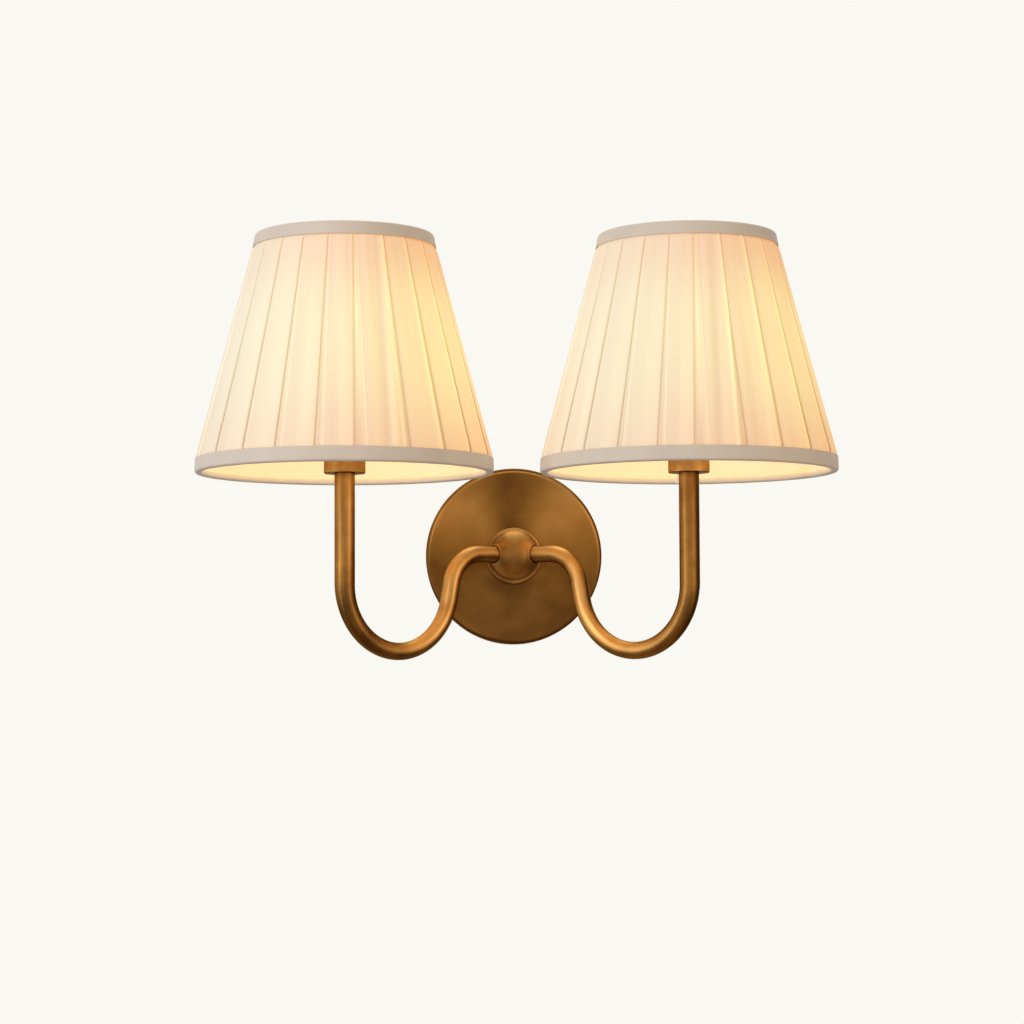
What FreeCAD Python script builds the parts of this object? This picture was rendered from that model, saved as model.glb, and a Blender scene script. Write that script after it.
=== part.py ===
"""Double arm wall sconce: a round brass backplate with a domed hub, two bent tube arms that drop into a U and
rise again, and on each arm a small-screw lampholder, a candle bulb and a box-pleated empire shade.

Frame: millimetres. The wall is the plane y = 0, and the sconce stands out of it towards -Y. +X is to the
right for someone who faces the sconce, and +Z is up. The origin is on the wall, at the backplate's centre.
"""

import FreeCAD, Part
import math
import os

# Backplate, a shallow spun brass dish with its open side to the wall
PLATE_D = 125.0
PLATE_DEPTH = 22.0
PLATE_WALL = 1.2
PLATE_EDGE_R = 2.5

# Hub, turned from solid brass, on the middle of the plate
HUB_FLANGE_D = 40.4
HUB_FLANGE_T = 3.6
HUB_FLANGE_EDGE_R = 1.6
HUB_NECK_R = 17.3
HUB_SHOULDER_R = 0.9
HUB_DOME_R = 19.5
ARM_STANDOFF = 12.0
SOCKET_CHAMFER = 0.6
WIREWAY_R = 4.4

# Arms, bent brass tube. The shoulder bend turns the tube down, the U bend turns it up again. The tube is
# slimmer from the hub to the bottom of the U, and swells to its full diameter in the upright stem.
TUBE_D = 13.8
TUBE_SLIM_D = 12.0
TUBE_WALL = 1.0
STEM_X = 116.0
STEM_OUT = 126.0
ARM_SEAT = 8.0
SHOULDER_R = 25.7
DROP_ANGLE = 78.5
DROP_RUN = 12.3
U_BEND_R = 45.1
ARM_TOP_Z = 50.4

# Hollow threaded rod, nut and washer that pull the hub to the plate
NIPPLE_D = 10.0
NIPPLE_BORE_D = 8.0
NIPPLE_GRIP = 6.0
NIPPLE_TAIL = 1.5
NUT_FLATS = 14.0
NUT_T = 4.0
WASHER_D = 20.0
WASHER_T = 1.0

# Set screws behind the hub that clamp the arms
ARM_SCREW_D = 4.0
ARM_SCREW_X = 11.5
ARM_SCREW_SOCKET_D = 2.0
ARM_SCREW_SOCKET_DEPTH = 2.0

# Pressed steel wall bracket inside the plate
BRACKET_T = 1.6
BRACKET_STRAP_W = 20.0
BRACKET_DISC_D = 62.0
BRACKET_TAB_RISE = 14.0
BRACKET_BEND_R = 1.4
BRACKET_PLAY = 1.3
SLOT_SPACING = 60.0
SLOT_W = 4.5
SLOT_LENGTH = 14.0
CABLE_HOLE_D = 20.0
PLATE_SCREW_D = 4.0
PLATE_SCREW_H = 8.5
PLATE_SCREW_IN = 1.5

# Terminal block, on the bracket above the cable hole
BLOCK_Z = 20.0
BLOCK_DEPTH = 14.0
BLOCK_BASE_T = 3.0
BLOCK_POLES = 3
BLOCK_PITCH = 10.0
BLOCK_POLE_D = 8.4
BLOCK_AXIS_H = 7.6
BARREL_D = 5.0
BARREL_BORE_D = 3.0
BARREL_SCREW_D = 2.4
BARREL_SCREW_OFFSET = 3.2
BARREL_SCREW_PROUD = 0.8
PEG_D = 2.8

# Earth terminal, on the bracket below the cable hole
EARTH_Z = 20.0
EARTH_SCREW_D = 4.0
EARTH_HEAD_D = 7.0
EARTH_HEAD_T = 2.4
EARTH_WASHER_D = 9.0
EARTH_WASHER_T = 1.0

# Flexible lead inside each arm
LEAD_D = 2.6
LEAD_OFFSET = 1.7
LEAD_BEND_R = 8.0
LEAD_SPLAY = 35.0

# Threaded bush brazed into the top of each arm
BUSH_THREAD_D = 9.8
BUSH_BORE_D = 7.0
BUSH_DEPTH = 14.0
BUSH_SHORT = 0.5

# Brass cup under each lampholder
CUP_D = 28.0
CUP_H = 14.0
CUP_WALL = 1.2
CUP_FLOOR = 1.5
CUP_EDGE = 0.4

# Lampholder: screwed base, skirt with a collar for the shade, and its live parts
HOLDER_BASE_H = 14.0
HOLDER_BASE_FLOOR = 7.0
SPIGOT_WALL = 2.0
SPIGOT_H = 6.0
SKIRT_WALL = 1.2
SKIRT_LEDGE = 0.7
SKIRT_RIM = 3.0
SKIRT_THREAD_D = 27.8
SKIRT_LEAD_IN = 0.8
COLLAR_LEDGE = 1.9
COLLAR_T = 2.4
COLLAR_RISE = 4.0
CONTACT_BLOCK_H = 7.0
SHELL_WALL = 0.5
SHELL_SHORT = 1.5
SHELL_LIP = 0.8
LEAF_W = 4.0
LEAF_T = 0.5
LEAF_RISE = 2.0
LEAF_LENGTH = 9.0

# Ring that screws down on the shade
RING_WALL = 4.0
RING_H = 5.0
RING_NOTCHES = 24
RING_NOTCH_D = 2.0

# Candle bulb
CAP_D = 13.9
CAP_H = 14.0
CAP_WALL = 0.4
CAP_FLARE_H = 3.5
CONTACT_CONE_H = 3.0
CONTACT_TIP_D = 4.8
CONTACT_TIP_H = 0.7
GLASS_D = 35.0
GLASS_H = 76.0
GLASS_BELLY_H = 26.0
GLASS_NECK_D = 16.4
GLASS_TIP_R = 2.6
GLASS_WALL = 0.9
STEM_POST_D = 4.0
STEM_FLARE_INSET = 0.8
STEM_FLARE_H = 9.0
STEM_POST_H = 50.0
FILAMENTS = 4
FILAMENT_D = 1.8
FILAMENT_FOOT_R = 7.5
FILAMENT_HEAD_R = 4.0
FILAMENT_FOOT_H = 16.0
FILAMENT_WIRE_D = 0.9

# Shade, an empire cone: ring frame, stiff lining, pleated cloth and two bound rims
SHADE_BOTTOM_D = 203.0
SHADE_TOP_D = 120.0
SHADE_H = 162.0
SHADE_DROP = 22.4
TAPE_T = 0.6
TAPE_TOP_W = 9.0
TAPE_BOTTOM_W = 10.0
TAPE_TURN_IN = 4.0
PLEATS = 22
PLEAT_PHASE = 5.5
PLEAT_RISE = 1.2
PLEAT_GAP_BOTTOM = 6.0
PLEAT_GAP_TOP = 0.8
CLOTH_T = 0.5
LINING_T = 0.8
RIM_WIRE_D = 2.6
FITTER_RIM = 3.0
FITTER_T = 1.2
FITTER_WELD = 0.5
FITTER_ARMS = 3
FITTER_ARM_D = 3.0
FITTER_ELBOW = 8.0
FITTER_BEND_R = 8.0

# Clearances
SEAT_FIT = 0.05
THREAD_FIT = 0.08
REST_GAP = 0.3
HOLE_PLAY = 0.25
CUP_PLAY = 0.3
CAP_PLAY = 0.25
FITTER_PLAY = 0.7
TAPE_SLIT_PLAY = 0.3

# Derived levels and radii
PLATE_R = PLATE_D / 2
PLATE_INNER_R = PLATE_R - PLATE_WALL
TUBE_R = TUBE_D / 2
TUBE_BORE_R = TUBE_R - TUBE_WALL
TUBE_SLIM_R = TUBE_SLIM_D / 2
ARM_AXIS_H = PLATE_DEPTH + ARM_STANDOFF
ARM_TURN = math.atan2(STEM_OUT - ARM_AXIS_H, STEM_X)
ARM_SPAN = math.hypot(STEM_X, STEM_OUT - ARM_AXIS_H)
DROP = math.radians(DROP_ANGLE)
NIPPLE_BACK_H = PLATE_DEPTH - PLATE_WALL - WASHER_T - NUT_T - NIPPLE_TAIL
BASE_R = CUP_D / 2 - CUP_WALL - CUP_PLAY
SPIGOT_R = BASE_R - SKIRT_WALL - SEAT_FIT
SKIRT_BORE_R = SPIGOT_R + SEAT_FIT - SKIRT_LEDGE
FITTER_BORE_R = SKIRT_THREAD_D / 2 + FITTER_PLAY
COLLAR_R = FITTER_BORE_R + COLLAR_LEDGE
FITTER_R = COLLAR_R + FITTER_RIM
SHELL_R = CAP_D / 2 + CAP_PLAY + SHELL_WALL
CAP_FLARE_R = GLASS_NECK_D / 2 + CAP_WALL
BASE_Z = ARM_TOP_Z + CUP_FLOOR
SKIRT_Z = BASE_Z + HOLDER_BASE_H
SPIGOT_TOP_Z = SKIRT_Z + SPIGOT_H
COLLAR_Z = SKIRT_Z + COLLAR_RISE
COLLAR_TOP_Z = COLLAR_Z + COLLAR_T
FITTER_Z = COLLAR_TOP_Z + REST_GAP
RING_Z = FITTER_Z + FITTER_T + REST_GAP
SHELL_Z = SPIGOT_TOP_Z + CONTACT_BLOCK_H
TIP_Z = SHELL_Z + LEAF_T + LEAF_RISE + REST_GAP
CAP_Z = TIP_Z + CONTACT_TIP_H + CONTACT_CONE_H
SHELL_TOP_Z = CAP_Z + CAP_H - SHELL_SHORT
SKIRT_TOP_Z = SHELL_TOP_Z + SKIRT_RIM
GLASS_Z = CAP_Z + CAP_H + CAP_FLARE_H
SHADE_Z = FITTER_Z - SHADE_DROP
SHADE_TOP_Z = SHADE_Z + SHADE_H
SHADE_SLOPE = (SHADE_BOTTOM_D - SHADE_TOP_D) / 2 / SHADE_H

UP = FreeCAD.Vector(0, 0, 1)
ORIGIN = FreeCAD.Vector(0, 0, 0)


def point(x, y, z):
    return FreeCAD.Vector(x, y, z)


def outline(start, *moves):
    """Closed wire in the x, z plane. A move is a corner (x, z), or an arc as (middle, end)."""
    edges = []
    here = start
    for move in moves + (start,):
        if isinstance(move[0], tuple):
            middle, there = move
            spots = [point(spot[0], 0, spot[1]) for spot in (here, middle, there)]
            edges.append(Part.Arc(*spots).toShape())
        else:
            there = move
            if math.dist(here, there) > 1e-9:
                edges.append(Part.makeLine(point(here[0], 0, here[1]), point(there[0], 0, there[1])))
        here = there
    return Part.Wire(edges)


def lathe(start, *moves):
    """Solid of revolution about Z from an outline of (radius, height) corners."""
    return Part.Face(outline(start, *moves)).revolve(ORIGIN, UP, 360)


def tube(outer_r, inner_r, z, height):
    return lathe((inner_r, z), (outer_r, z), (outer_r, z + height), (inner_r, z + height))


def quarter(centre, radius, start_deg, end_deg):
    """Arc move about a centre: its middle point and its end point."""
    middle = math.radians((start_deg + end_deg) / 2)
    end = math.radians(end_deg)
    return (
        (centre[0] + radius * math.cos(middle), centre[1] + radius * math.sin(middle)),
        (centre[0] + radius * math.cos(end), centre[1] + radius * math.sin(end)),
    )


def from_wall(shape):
    """Turns a shape modelled with Z as the distance from the wall into the sconce's frame."""
    turned = shape.copy()
    turned.rotate(ORIGIN, point(1, 0, 0), 90)
    return turned


def mirrored(shape):
    return shape.mirror(ORIGIN, point(1, 0, 0))


def both_ways(shape):
    """The shape and its mirror image as a group of two solids."""
    return Part.makeCompound([shape, mirrored(shape)])


def sweep(edges, radius):
    """Round bar along joined edges."""
    path = Part.Wire(edges)
    first = edges[0]
    start = first.valueAt(first.FirstParameter)
    along = first.tangentAt(first.FirstParameter)
    section = Part.Wire([Part.makeCircle(radius, start, along)])
    return path.makePipeShell([section], True, False)


# Wall side

def backplate():
    """Spun dish: flat face, rolled front edge, straight skirt, centre hole and two screw holes."""
    bend = PLATE_R - PLATE_EDGE_R
    level = PLATE_DEPTH - PLATE_EDGE_R
    inner_bend_r = max(PLATE_EDGE_R - PLATE_WALL, 0.3)
    inner_bend = PLATE_INNER_R - inner_bend_r
    inner_level = PLATE_DEPTH - PLATE_WALL - inner_bend_r
    hole_r = NIPPLE_D / 2 + HOLE_PLAY
    dish = lathe(
        (PLATE_R, 0),
        (PLATE_R, level),
        quarter((bend, level), PLATE_EDGE_R, 0, 90),
        (hole_r, PLATE_DEPTH),
        (hole_r, PLATE_DEPTH - PLATE_WALL),
        (inner_bend, PLATE_DEPTH - PLATE_WALL),
        quarter((inner_bend, inner_level), inner_bend_r, 90, 0),
        (PLATE_INNER_R, 0),
    )
    drill = Part.makeCylinder(
        PLATE_SCREW_D / 2 + HOLE_PLAY, PLATE_D + 2, point(-PLATE_R - 1, 0, PLATE_SCREW_H), point(1, 0, 0)
    )
    return from_wall(dish.cut(drill))


def bracket_half_length():
    return PLATE_INNER_R - BRACKET_PLAY


def plate_screws():
    """Set screws through the skirt into the bracket's tabs, flush with the skirt, with a hexagon socket."""
    tab_inside = bracket_half_length() - BRACKET_T
    start = tab_inside - PLATE_SCREW_IN
    end = math.sqrt(PLATE_R ** 2 - (PLATE_SCREW_D / 2) ** 2)
    screw = Part.makeCylinder(
        PLATE_SCREW_D / 2, end - start, point(start, 0, PLATE_SCREW_H), point(1, 0, 0)
    )
    socket = hexagon_bar(PLATE_SCREW_D * 0.5, PLATE_SCREW_D * 0.5)
    socket.rotate(ORIGIN, point(0, 1, 0), 90)
    socket.translate(point(end - PLATE_SCREW_D * 0.5, 0, PLATE_SCREW_H))
    return from_wall(both_ways(screw.cut(socket)))


def hexagon_bar(flats, height):
    """Hexagonal bar on Z, by its size across the flats."""
    corner_r = flats / 2 / math.cos(math.pi / 6)
    corners = [
        point(corner_r * math.cos(math.radians(60 * i)), corner_r * math.sin(math.radians(60 * i)), 0)
        for i in range(6)
    ]
    face = Part.Face(Part.makePolygon(corners + corners[:1]))
    return face.extrude(point(0, 0, height))


def slot_cutter(x):
    """Slot along X through the bracket, centred at x."""
    half = (SLOT_LENGTH - SLOT_W) / 2
    ends = [
        Part.makeCylinder(SLOT_W / 2, BRACKET_T + 2, point(x + side * half, 0, -1)) for side in (-1, 1)
    ]
    middle = Part.makeBox(2 * half, SLOT_W, BRACKET_T + 2, point(x - half, -SLOT_W / 2, -1))
    return ends[0].fuse([ends[1], middle])


def block_pegs_x():
    return BLOCK_PITCH / 2


def wall_bracket():
    """Steel strap with turned-up ends on a round middle, with its slots and holes."""
    half = bracket_half_length()
    outer_r = BRACKET_BEND_R + BRACKET_T
    bend = half - outer_r
    rise = BRACKET_TAB_RISE
    strap = Part.Face(
        outline(
            (-half, rise),
            (-half, outer_r),
            quarter((-bend, outer_r), outer_r, 180, 270),
            (bend, 0),
            quarter((bend, outer_r), outer_r, -90, 0),
            (half, rise),
            (half - BRACKET_T, rise),
            (half - BRACKET_T, outer_r),
            quarter((bend, outer_r), BRACKET_BEND_R, 0, -90),
            (-bend, BRACKET_T),
            quarter((-bend, outer_r), BRACKET_BEND_R, 270, 180),
            (-half + BRACKET_T, rise),
        )
    ).extrude(point(0, BRACKET_STRAP_W, 0))
    strap.translate(point(0, -BRACKET_STRAP_W / 2, 0))
    bracket = strap.fuse(Part.makeCylinder(BRACKET_DISC_D / 2, BRACKET_T)).removeSplitter()
    cutters = [slot_cutter(side * SLOT_SPACING / 2) for side in (-1, 1)]
    cutters.append(Part.makeCylinder(CABLE_HOLE_D / 2, BRACKET_T + 2, point(0, 0, -1)))
    cutters.append(
        Part.makeCylinder(EARTH_SCREW_D / 2 + SEAT_FIT, BRACKET_T + 2, point(0, -EARTH_Z, -1))
    )
    for side in (-1, 1):
        cutters.append(
            Part.makeCylinder(PEG_D / 2 + SEAT_FIT, BRACKET_T + 2, point(side * block_pegs_x(), BLOCK_Z, -1))
        )
        cutters.append(
            Part.makeCylinder(
                PLATE_SCREW_D / 2 + SEAT_FIT,
                2 * outer_r,
                point(side * (half + 1), 0, PLATE_SCREW_H),
                point(-side, 0, 0),
            )
        )
    return from_wall(bracket.cut(cutters))


def hub_profile():
    """Flange with a rounded edge, neck with a rounded shoulder, domed front; on Z from the plate's face."""
    edge = HUB_FLANGE_EDGE_R
    flange_r = HUB_FLANGE_D / 2
    turn_r = HUB_NECK_R - HUB_SHOULDER_R
    turn = math.acos(turn_r / (HUB_DOME_R - HUB_SHOULDER_R))
    turn_deg = math.degrees(turn)
    turn_h = ARM_STANDOFF + turn_r * math.tan(turn)
    return lathe(
        (0, 0),
        (flange_r, 0),
        (flange_r, HUB_FLANGE_T - edge),
        quarter((flange_r - edge, HUB_FLANGE_T - edge), edge, 0, 90),
        (HUB_NECK_R, HUB_FLANGE_T),
        (HUB_NECK_R, turn_h),
        quarter((turn_r, turn_h), HUB_SHOULDER_R, 0, turn_deg),
        quarter((0, ARM_STANDOFF), HUB_DOME_R, turn_deg, 90),
    )


def socket_cutter():
    """Drilling for the right arm: chamfered mouth, seat for the tube's end and wireway to the middle."""
    axis = point(math.cos(ARM_TURN), 0, math.sin(ARM_TURN))
    centre = point(0, 0, ARM_STANDOFF)
    bore_r = TUBE_SLIM_R + SEAT_FIT
    mouth = math.sqrt(HUB_DOME_R ** 2 - (bore_r + SOCKET_CHAMFER) ** 2)
    bore = Part.makeCylinder(bore_r, HUB_DOME_R, centre + axis * ARM_SEAT, axis)
    chamfer = Part.makeCone(
        bore_r,
        bore_r + 2 * SOCKET_CHAMFER,
        2 * SOCKET_CHAMFER,
        centre + axis * (mouth - SOCKET_CHAMFER),
        axis,
    )
    wireway = Part.makeCylinder(WIREWAY_R, ARM_SEAT + 1, centre, axis)
    return bore.fuse([chamfer, wireway])


def arm_screw_tip_h():
    """Height over the plate's face where a set screw meets the tube's back."""
    return ARM_STANDOFF + ARM_SCREW_X * math.tan(ARM_TURN) - TUBE_SLIM_R / math.cos(ARM_TURN)


def hub():
    """Domed hub with two angled tube sockets, a threaded hole behind and two clamp screw holes."""
    drill_r = ARM_SCREW_D / 2 + SEAT_FIT
    right = socket_cutter()
    screw_hole = Part.makeCylinder(drill_r, arm_screw_tip_h() + ARM_SCREW_D, point(ARM_SCREW_X, 0, 0))
    cutters = [
        right,
        mirrored(right),
        Part.makeSphere(WIREWAY_R, point(0, 0, ARM_STANDOFF)),
        Part.makeCylinder(WIREWAY_R, ARM_STANDOFF),
        Part.makeCylinder(NIPPLE_D / 2 + SEAT_FIT, NIPPLE_GRIP),
        screw_hole,
        mirrored(screw_hole),
    ]
    body = hub_profile().cut(cutters)
    body.translate(point(0, 0, PLATE_DEPTH))
    return from_wall(body)


def arm_screws():
    """Socket set screws from the hub's back face, ending just short of the tubes."""
    length = arm_screw_tip_h() - ARM_SCREW_D / 2 * math.tan(ARM_TURN) - SEAT_FIT
    screw = Part.makeCylinder(ARM_SCREW_D / 2, length, point(ARM_SCREW_X, 0, 0))
    socket = hexagon_bar(ARM_SCREW_SOCKET_D, ARM_SCREW_SOCKET_DEPTH)
    socket.translate(point(ARM_SCREW_X, 0, 0))
    group = both_ways(screw.cut(socket))
    group.translate(point(0, 0, PLATE_DEPTH))
    return from_wall(group)


def hub_nipple():
    """Hollow threaded rod from the hub through the plate, with room for both leads."""
    length = PLATE_DEPTH + NIPPLE_GRIP - NIPPLE_BACK_H
    return from_wall(tube(NIPPLE_D / 2, NIPPLE_BORE_D / 2, NIPPLE_BACK_H, length))


def hub_washer():
    back = PLATE_DEPTH - PLATE_WALL - WASHER_T
    return from_wall(tube(WASHER_D / 2, NIPPLE_D / 2 + HOLE_PLAY, back, WASHER_T))


def hub_nut():
    """Hexagon nut on the nipple, behind the washer, with its corners turned off."""
    back = PLATE_DEPTH - PLATE_WALL - WASHER_T - NUT_T
    nut = hexagon_bar(NUT_FLATS, NUT_T)
    corner_r = NUT_FLATS / 2 / math.cos(math.pi / 6)
    flat_r = NUT_FLATS / 2
    turned = lathe(
        (0, 0),
        (flat_r, 0),
        (corner_r, (corner_r - flat_r) / 2),
        (corner_r, NUT_T),
        (0, NUT_T),
    )
    nut = nut.common(turned).cut(Part.makeCylinder(NIPPLE_D / 2 + SEAT_FIT, NUT_T))
    nut.translate(point(0, 0, back))
    return from_wall(nut)


def pole_places():
    middle = (BLOCK_POLES - 1) / 2
    return [(i - middle) * BLOCK_PITCH for i in range(BLOCK_POLES)]


def terminal_block():
    """Moulded strip with a rounded housing for each pole, wire holes and two pegs in the bracket."""
    width = BLOCK_PITCH * (BLOCK_POLES - 1) + BLOCK_POLE_D
    floor = BRACKET_T
    near = BLOCK_Z - BLOCK_DEPTH / 2
    body = [Part.makeBox(width, BLOCK_DEPTH, BLOCK_BASE_T, point(-width / 2, near, floor))]
    cutters = []
    pole_r = BLOCK_POLE_D / 2
    top = BLOCK_AXIS_H + pole_r
    for x in pole_places():
        corner = point(x - pole_r, near, floor)
        housing = Part.makeBox(BLOCK_POLE_D, BLOCK_DEPTH, BLOCK_AXIS_H - floor, corner)
        crown = Part.makeCylinder(pole_r, BLOCK_DEPTH, point(x, near, BLOCK_AXIS_H), point(0, 1, 0))
        body += [housing, crown]
        cutters.append(
            Part.makeCylinder(
                BARREL_D / 2 + SEAT_FIT, BLOCK_DEPTH + 2, point(x, near - 1, BLOCK_AXIS_H), point(0, 1, 0)
            )
        )
        for side in (-1, 1):
            cutters.append(
                Part.makeCylinder(
                    BARREL_SCREW_D / 2 + HOLE_PLAY,
                    top,
                    point(x, BLOCK_Z + side * BARREL_SCREW_OFFSET, BLOCK_AXIS_H),
                )
            )
    pegs = [Part.makeCylinder(PEG_D / 2, floor, point(side * block_pegs_x(), BLOCK_Z, 0)) for side in (-1, 1)]
    block = body[0].fuse(body[1:]).cut(cutters)
    return from_wall(block.fuse(pegs).removeSplitter())


def terminal_barrels():
    """Brass clamp barrel in each pole, drilled through for the wires and from above for two screws."""
    near = BLOCK_Z - BLOCK_DEPTH / 2 + 1
    length = BLOCK_DEPTH - 2
    barrels = []
    for x in pole_places():
        barrel = Part.makeCylinder(BARREL_D / 2, length, point(x, near, BLOCK_AXIS_H), point(0, 1, 0))
        bore = Part.makeCylinder(BARREL_BORE_D / 2, length, point(x, near, BLOCK_AXIS_H), point(0, 1, 0))
        drills = [
            Part.makeCylinder(
                BARREL_SCREW_D / 2 + SEAT_FIT,
                BARREL_D,
                point(x, BLOCK_Z + side * BARREL_SCREW_OFFSET, BLOCK_AXIS_H),
            )
            for side in (-1, 1)
        ]
        barrels.append(barrel.cut([bore] + drills))
    return from_wall(Part.makeCompound(barrels))


def terminal_screws():
    """Clamp screws of the terminal block, two to each pole, with slotted ends."""
    top = BLOCK_AXIS_H + BLOCK_POLE_D / 2 - BARREL_SCREW_PROUD
    foot = BLOCK_AXIS_H + BARREL_BORE_D / 4
    slot_w = BARREL_SCREW_D / 4
    screws = []
    for x in pole_places():
        for side in (-1, 1):
            y = BLOCK_Z + side * BARREL_SCREW_OFFSET
            screw = Part.makeCylinder(BARREL_SCREW_D / 2, top - foot, point(x, y, foot))
            slot = Part.makeBox(
                BARREL_SCREW_D, slot_w, slot_w, point(x - BARREL_SCREW_D / 2, y - slot_w / 2, top - slot_w)
            )
            screws.append(screw.cut(slot))
    return from_wall(Part.makeCompound(screws))


def earth_washer():
    """Cup washer under the earth screw, dished to trap the wire."""
    hole_r = EARTH_SCREW_D / 2 + HOLE_PLAY
    rim_r = EARTH_WASHER_D / 2
    lip = EARTH_WASHER_T / 2
    washer = lathe(
        (hole_r, 0),
        (rim_r, 0),
        (rim_r, EARTH_WASHER_T + lip),
        (rim_r - lip, EARTH_WASHER_T + lip),
        (rim_r - lip, EARTH_WASHER_T),
        (hole_r, EARTH_WASHER_T),
    )
    washer.translate(point(0, -EARTH_Z, BRACKET_T))
    return from_wall(washer)


def earth_screw():
    """Slotted pan-head screw, flush behind the bracket so that it stays off the wall."""
    under = BRACKET_T + EARTH_WASHER_T
    head_r = EARTH_HEAD_D / 2
    slot_w = EARTH_SCREW_D / 4
    crown = EARTH_HEAD_T / 3
    screw = lathe(
        (0, 0),
        (EARTH_SCREW_D / 2, 0),
        (EARTH_SCREW_D / 2, under),
        (head_r, under),
        (head_r, under + EARTH_HEAD_T - crown),
        (head_r - crown, under + EARTH_HEAD_T),
        (0, under + EARTH_HEAD_T),
    )
    slot = Part.makeBox(
        EARTH_HEAD_D, slot_w, slot_w, point(-head_r, -slot_w / 2, under + EARTH_HEAD_T - slot_w)
    )
    screw = screw.cut(slot)
    screw.translate(point(0, -EARTH_Z, 0))
    return from_wall(screw)


# Arms and leads

def arm_point(along, z):
    """Point of the right arm's upright plane: distance from the hub's middle, height over the arm's axis."""
    return point(along * math.cos(ARM_TURN), -ARM_AXIS_H - along * math.sin(ARM_TURN), z)


def arm_edges(start, top_z):
    """Centreline of the right arm: level stub, shoulder bend, straight drop, U bend and upright stem."""
    sin_drop = math.sin(DROP)
    cos_drop = math.cos(DROP)
    stub = ARM_SPAN - SHOULDER_R * sin_drop - DROP_RUN * cos_drop - U_BEND_R * sin_drop - U_BEND_R
    shoulder_end = (stub + SHOULDER_R * sin_drop, -SHOULDER_R * (1 - cos_drop))
    shoulder_mid = (
        stub + SHOULDER_R * math.sin(DROP / 2),
        -SHOULDER_R * (1 - math.cos(DROP / 2)),
    )
    drop_end = (shoulder_end[0] + DROP_RUN * cos_drop, shoulder_end[1] - DROP_RUN * sin_drop)
    u_centre = (ARM_SPAN - U_BEND_R, drop_end[1] + U_BEND_R * cos_drop)
    u_middle = (DROP - math.pi / 2) / 2
    u_mid = (u_centre[0] + U_BEND_R * math.sin(u_middle * -1), u_centre[1] - U_BEND_R * math.cos(u_middle))
    corners = [(start, 0), (stub, 0), shoulder_end, drop_end, (ARM_SPAN, u_centre[1]), (ARM_SPAN, top_z)]
    places = [arm_point(*corner) for corner in corners]
    return [
        Part.makeLine(places[0], places[1]),
        Part.Arc(places[1], arm_point(*shoulder_mid), places[2]).toShape(),
        Part.makeLine(places[2], places[3]),
        Part.Arc(places[3], arm_point(*u_mid), places[4]).toShape(),
        Part.makeLine(places[4], places[5]),
    ]


def arm_bar(edges, inset):
    """Round bar along the arm's centreline: slim as far as the U's bottom, swelling to the full stem."""
    slim = TUBE_SLIM_R - inset
    full = TUBE_R - inset
    u_bend, stem = edges[3:]
    sections = []
    for share, radius in ((0.0, slim), (0.5, slim), (1.0, full)):
        at = u_bend.FirstParameter + (u_bend.LastParameter - u_bend.FirstParameter) * share
        sections.append(Part.Wire([Part.makeCircle(radius, u_bend.valueAt(at), u_bend.tangentAt(at))]))
    swelling = Part.Wire([u_bend]).makePipeShell(sections, True, False)
    return sweep(edges[:3], slim).fuse([swelling, sweep([stem], full)]).removeSplitter()


def arm():
    """Right arm, a hollow tube bent in one plane that is turned forward of the wall."""
    edges = arm_edges(ARM_SEAT, ARM_TOP_Z)
    return arm_bar(edges, 0).cut(arm_bar(edges, TUBE_WALL))


def lead():
    """Right lead: from the terminal block through the nipple, the hub and the arm to the lampholder."""
    cross = LEAD_OFFSET / math.cos(ARM_TURN)
    corner = arm_point(cross, 0)
    turn = math.pi / 2 - ARM_TURN
    tangent = LEAD_BEND_R * math.tan(turn / 2)
    hub_in = corner + point(0, tangent, 0)
    hub_out = arm_point(cross + tangent, 0)
    bisector = (hub_in + hub_out) * 0.5 - corner
    centre_gap = LEAD_BEND_R / math.cos(turn / 2)
    bisector.normalize()
    hub_mid = corner + bisector * (centre_gap - LEAD_BEND_R)
    block_r = NIPPLE_BACK_H - BLOCK_AXIS_H
    splay = math.radians(LEAD_SPLAY)
    aside = point(math.sin(splay), 0, math.cos(splay))
    exit_at = point(LEAD_OFFSET, -NIPPLE_BACK_H, 0)
    arc_centre = exit_at + aside * block_r
    arc_end = arc_centre + point(0, block_r, 0)
    half = math.sqrt(0.5) * block_r
    arc_mid = arc_centre - aside * half + point(0, half, 0)
    block_face_z = BLOCK_Z - BLOCK_DEPTH / 2
    to_face = (block_face_z - arc_end.z - LEAD_D / 2 * math.sin(splay)) / math.cos(splay)
    edges = [
        Part.makeLine(arc_end + aside * to_face, arc_end),
        Part.Arc(arc_end, arc_mid, exit_at).toShape(),
        Part.makeLine(exit_at, hub_in),
        Part.Arc(hub_in, hub_mid, hub_out).toShape(),
    ]
    edges += arm_edges(cross + tangent, SPIGOT_TOP_Z)
    return sweep(edges, LEAD_D / 2)


# Lampholder pieces, modelled on Z and moved to the arms afterwards

def arm_bush():
    """Brass bush brazed into the tube, with a hollow threaded tail through the cup."""
    bore_r = BUSH_BORE_D / 2
    thread_r = BUSH_THREAD_D / 2
    body_r = TUBE_BORE_R - SEAT_FIT
    top = BASE_Z + HOLDER_BASE_FLOOR - BUSH_SHORT
    return lathe(
        (bore_r, ARM_TOP_Z - BUSH_DEPTH),
        (body_r, ARM_TOP_Z - BUSH_DEPTH),
        (body_r, ARM_TOP_Z),
        (thread_r, ARM_TOP_Z),
        (thread_r, top),
        (bore_r, top),
    )


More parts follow.
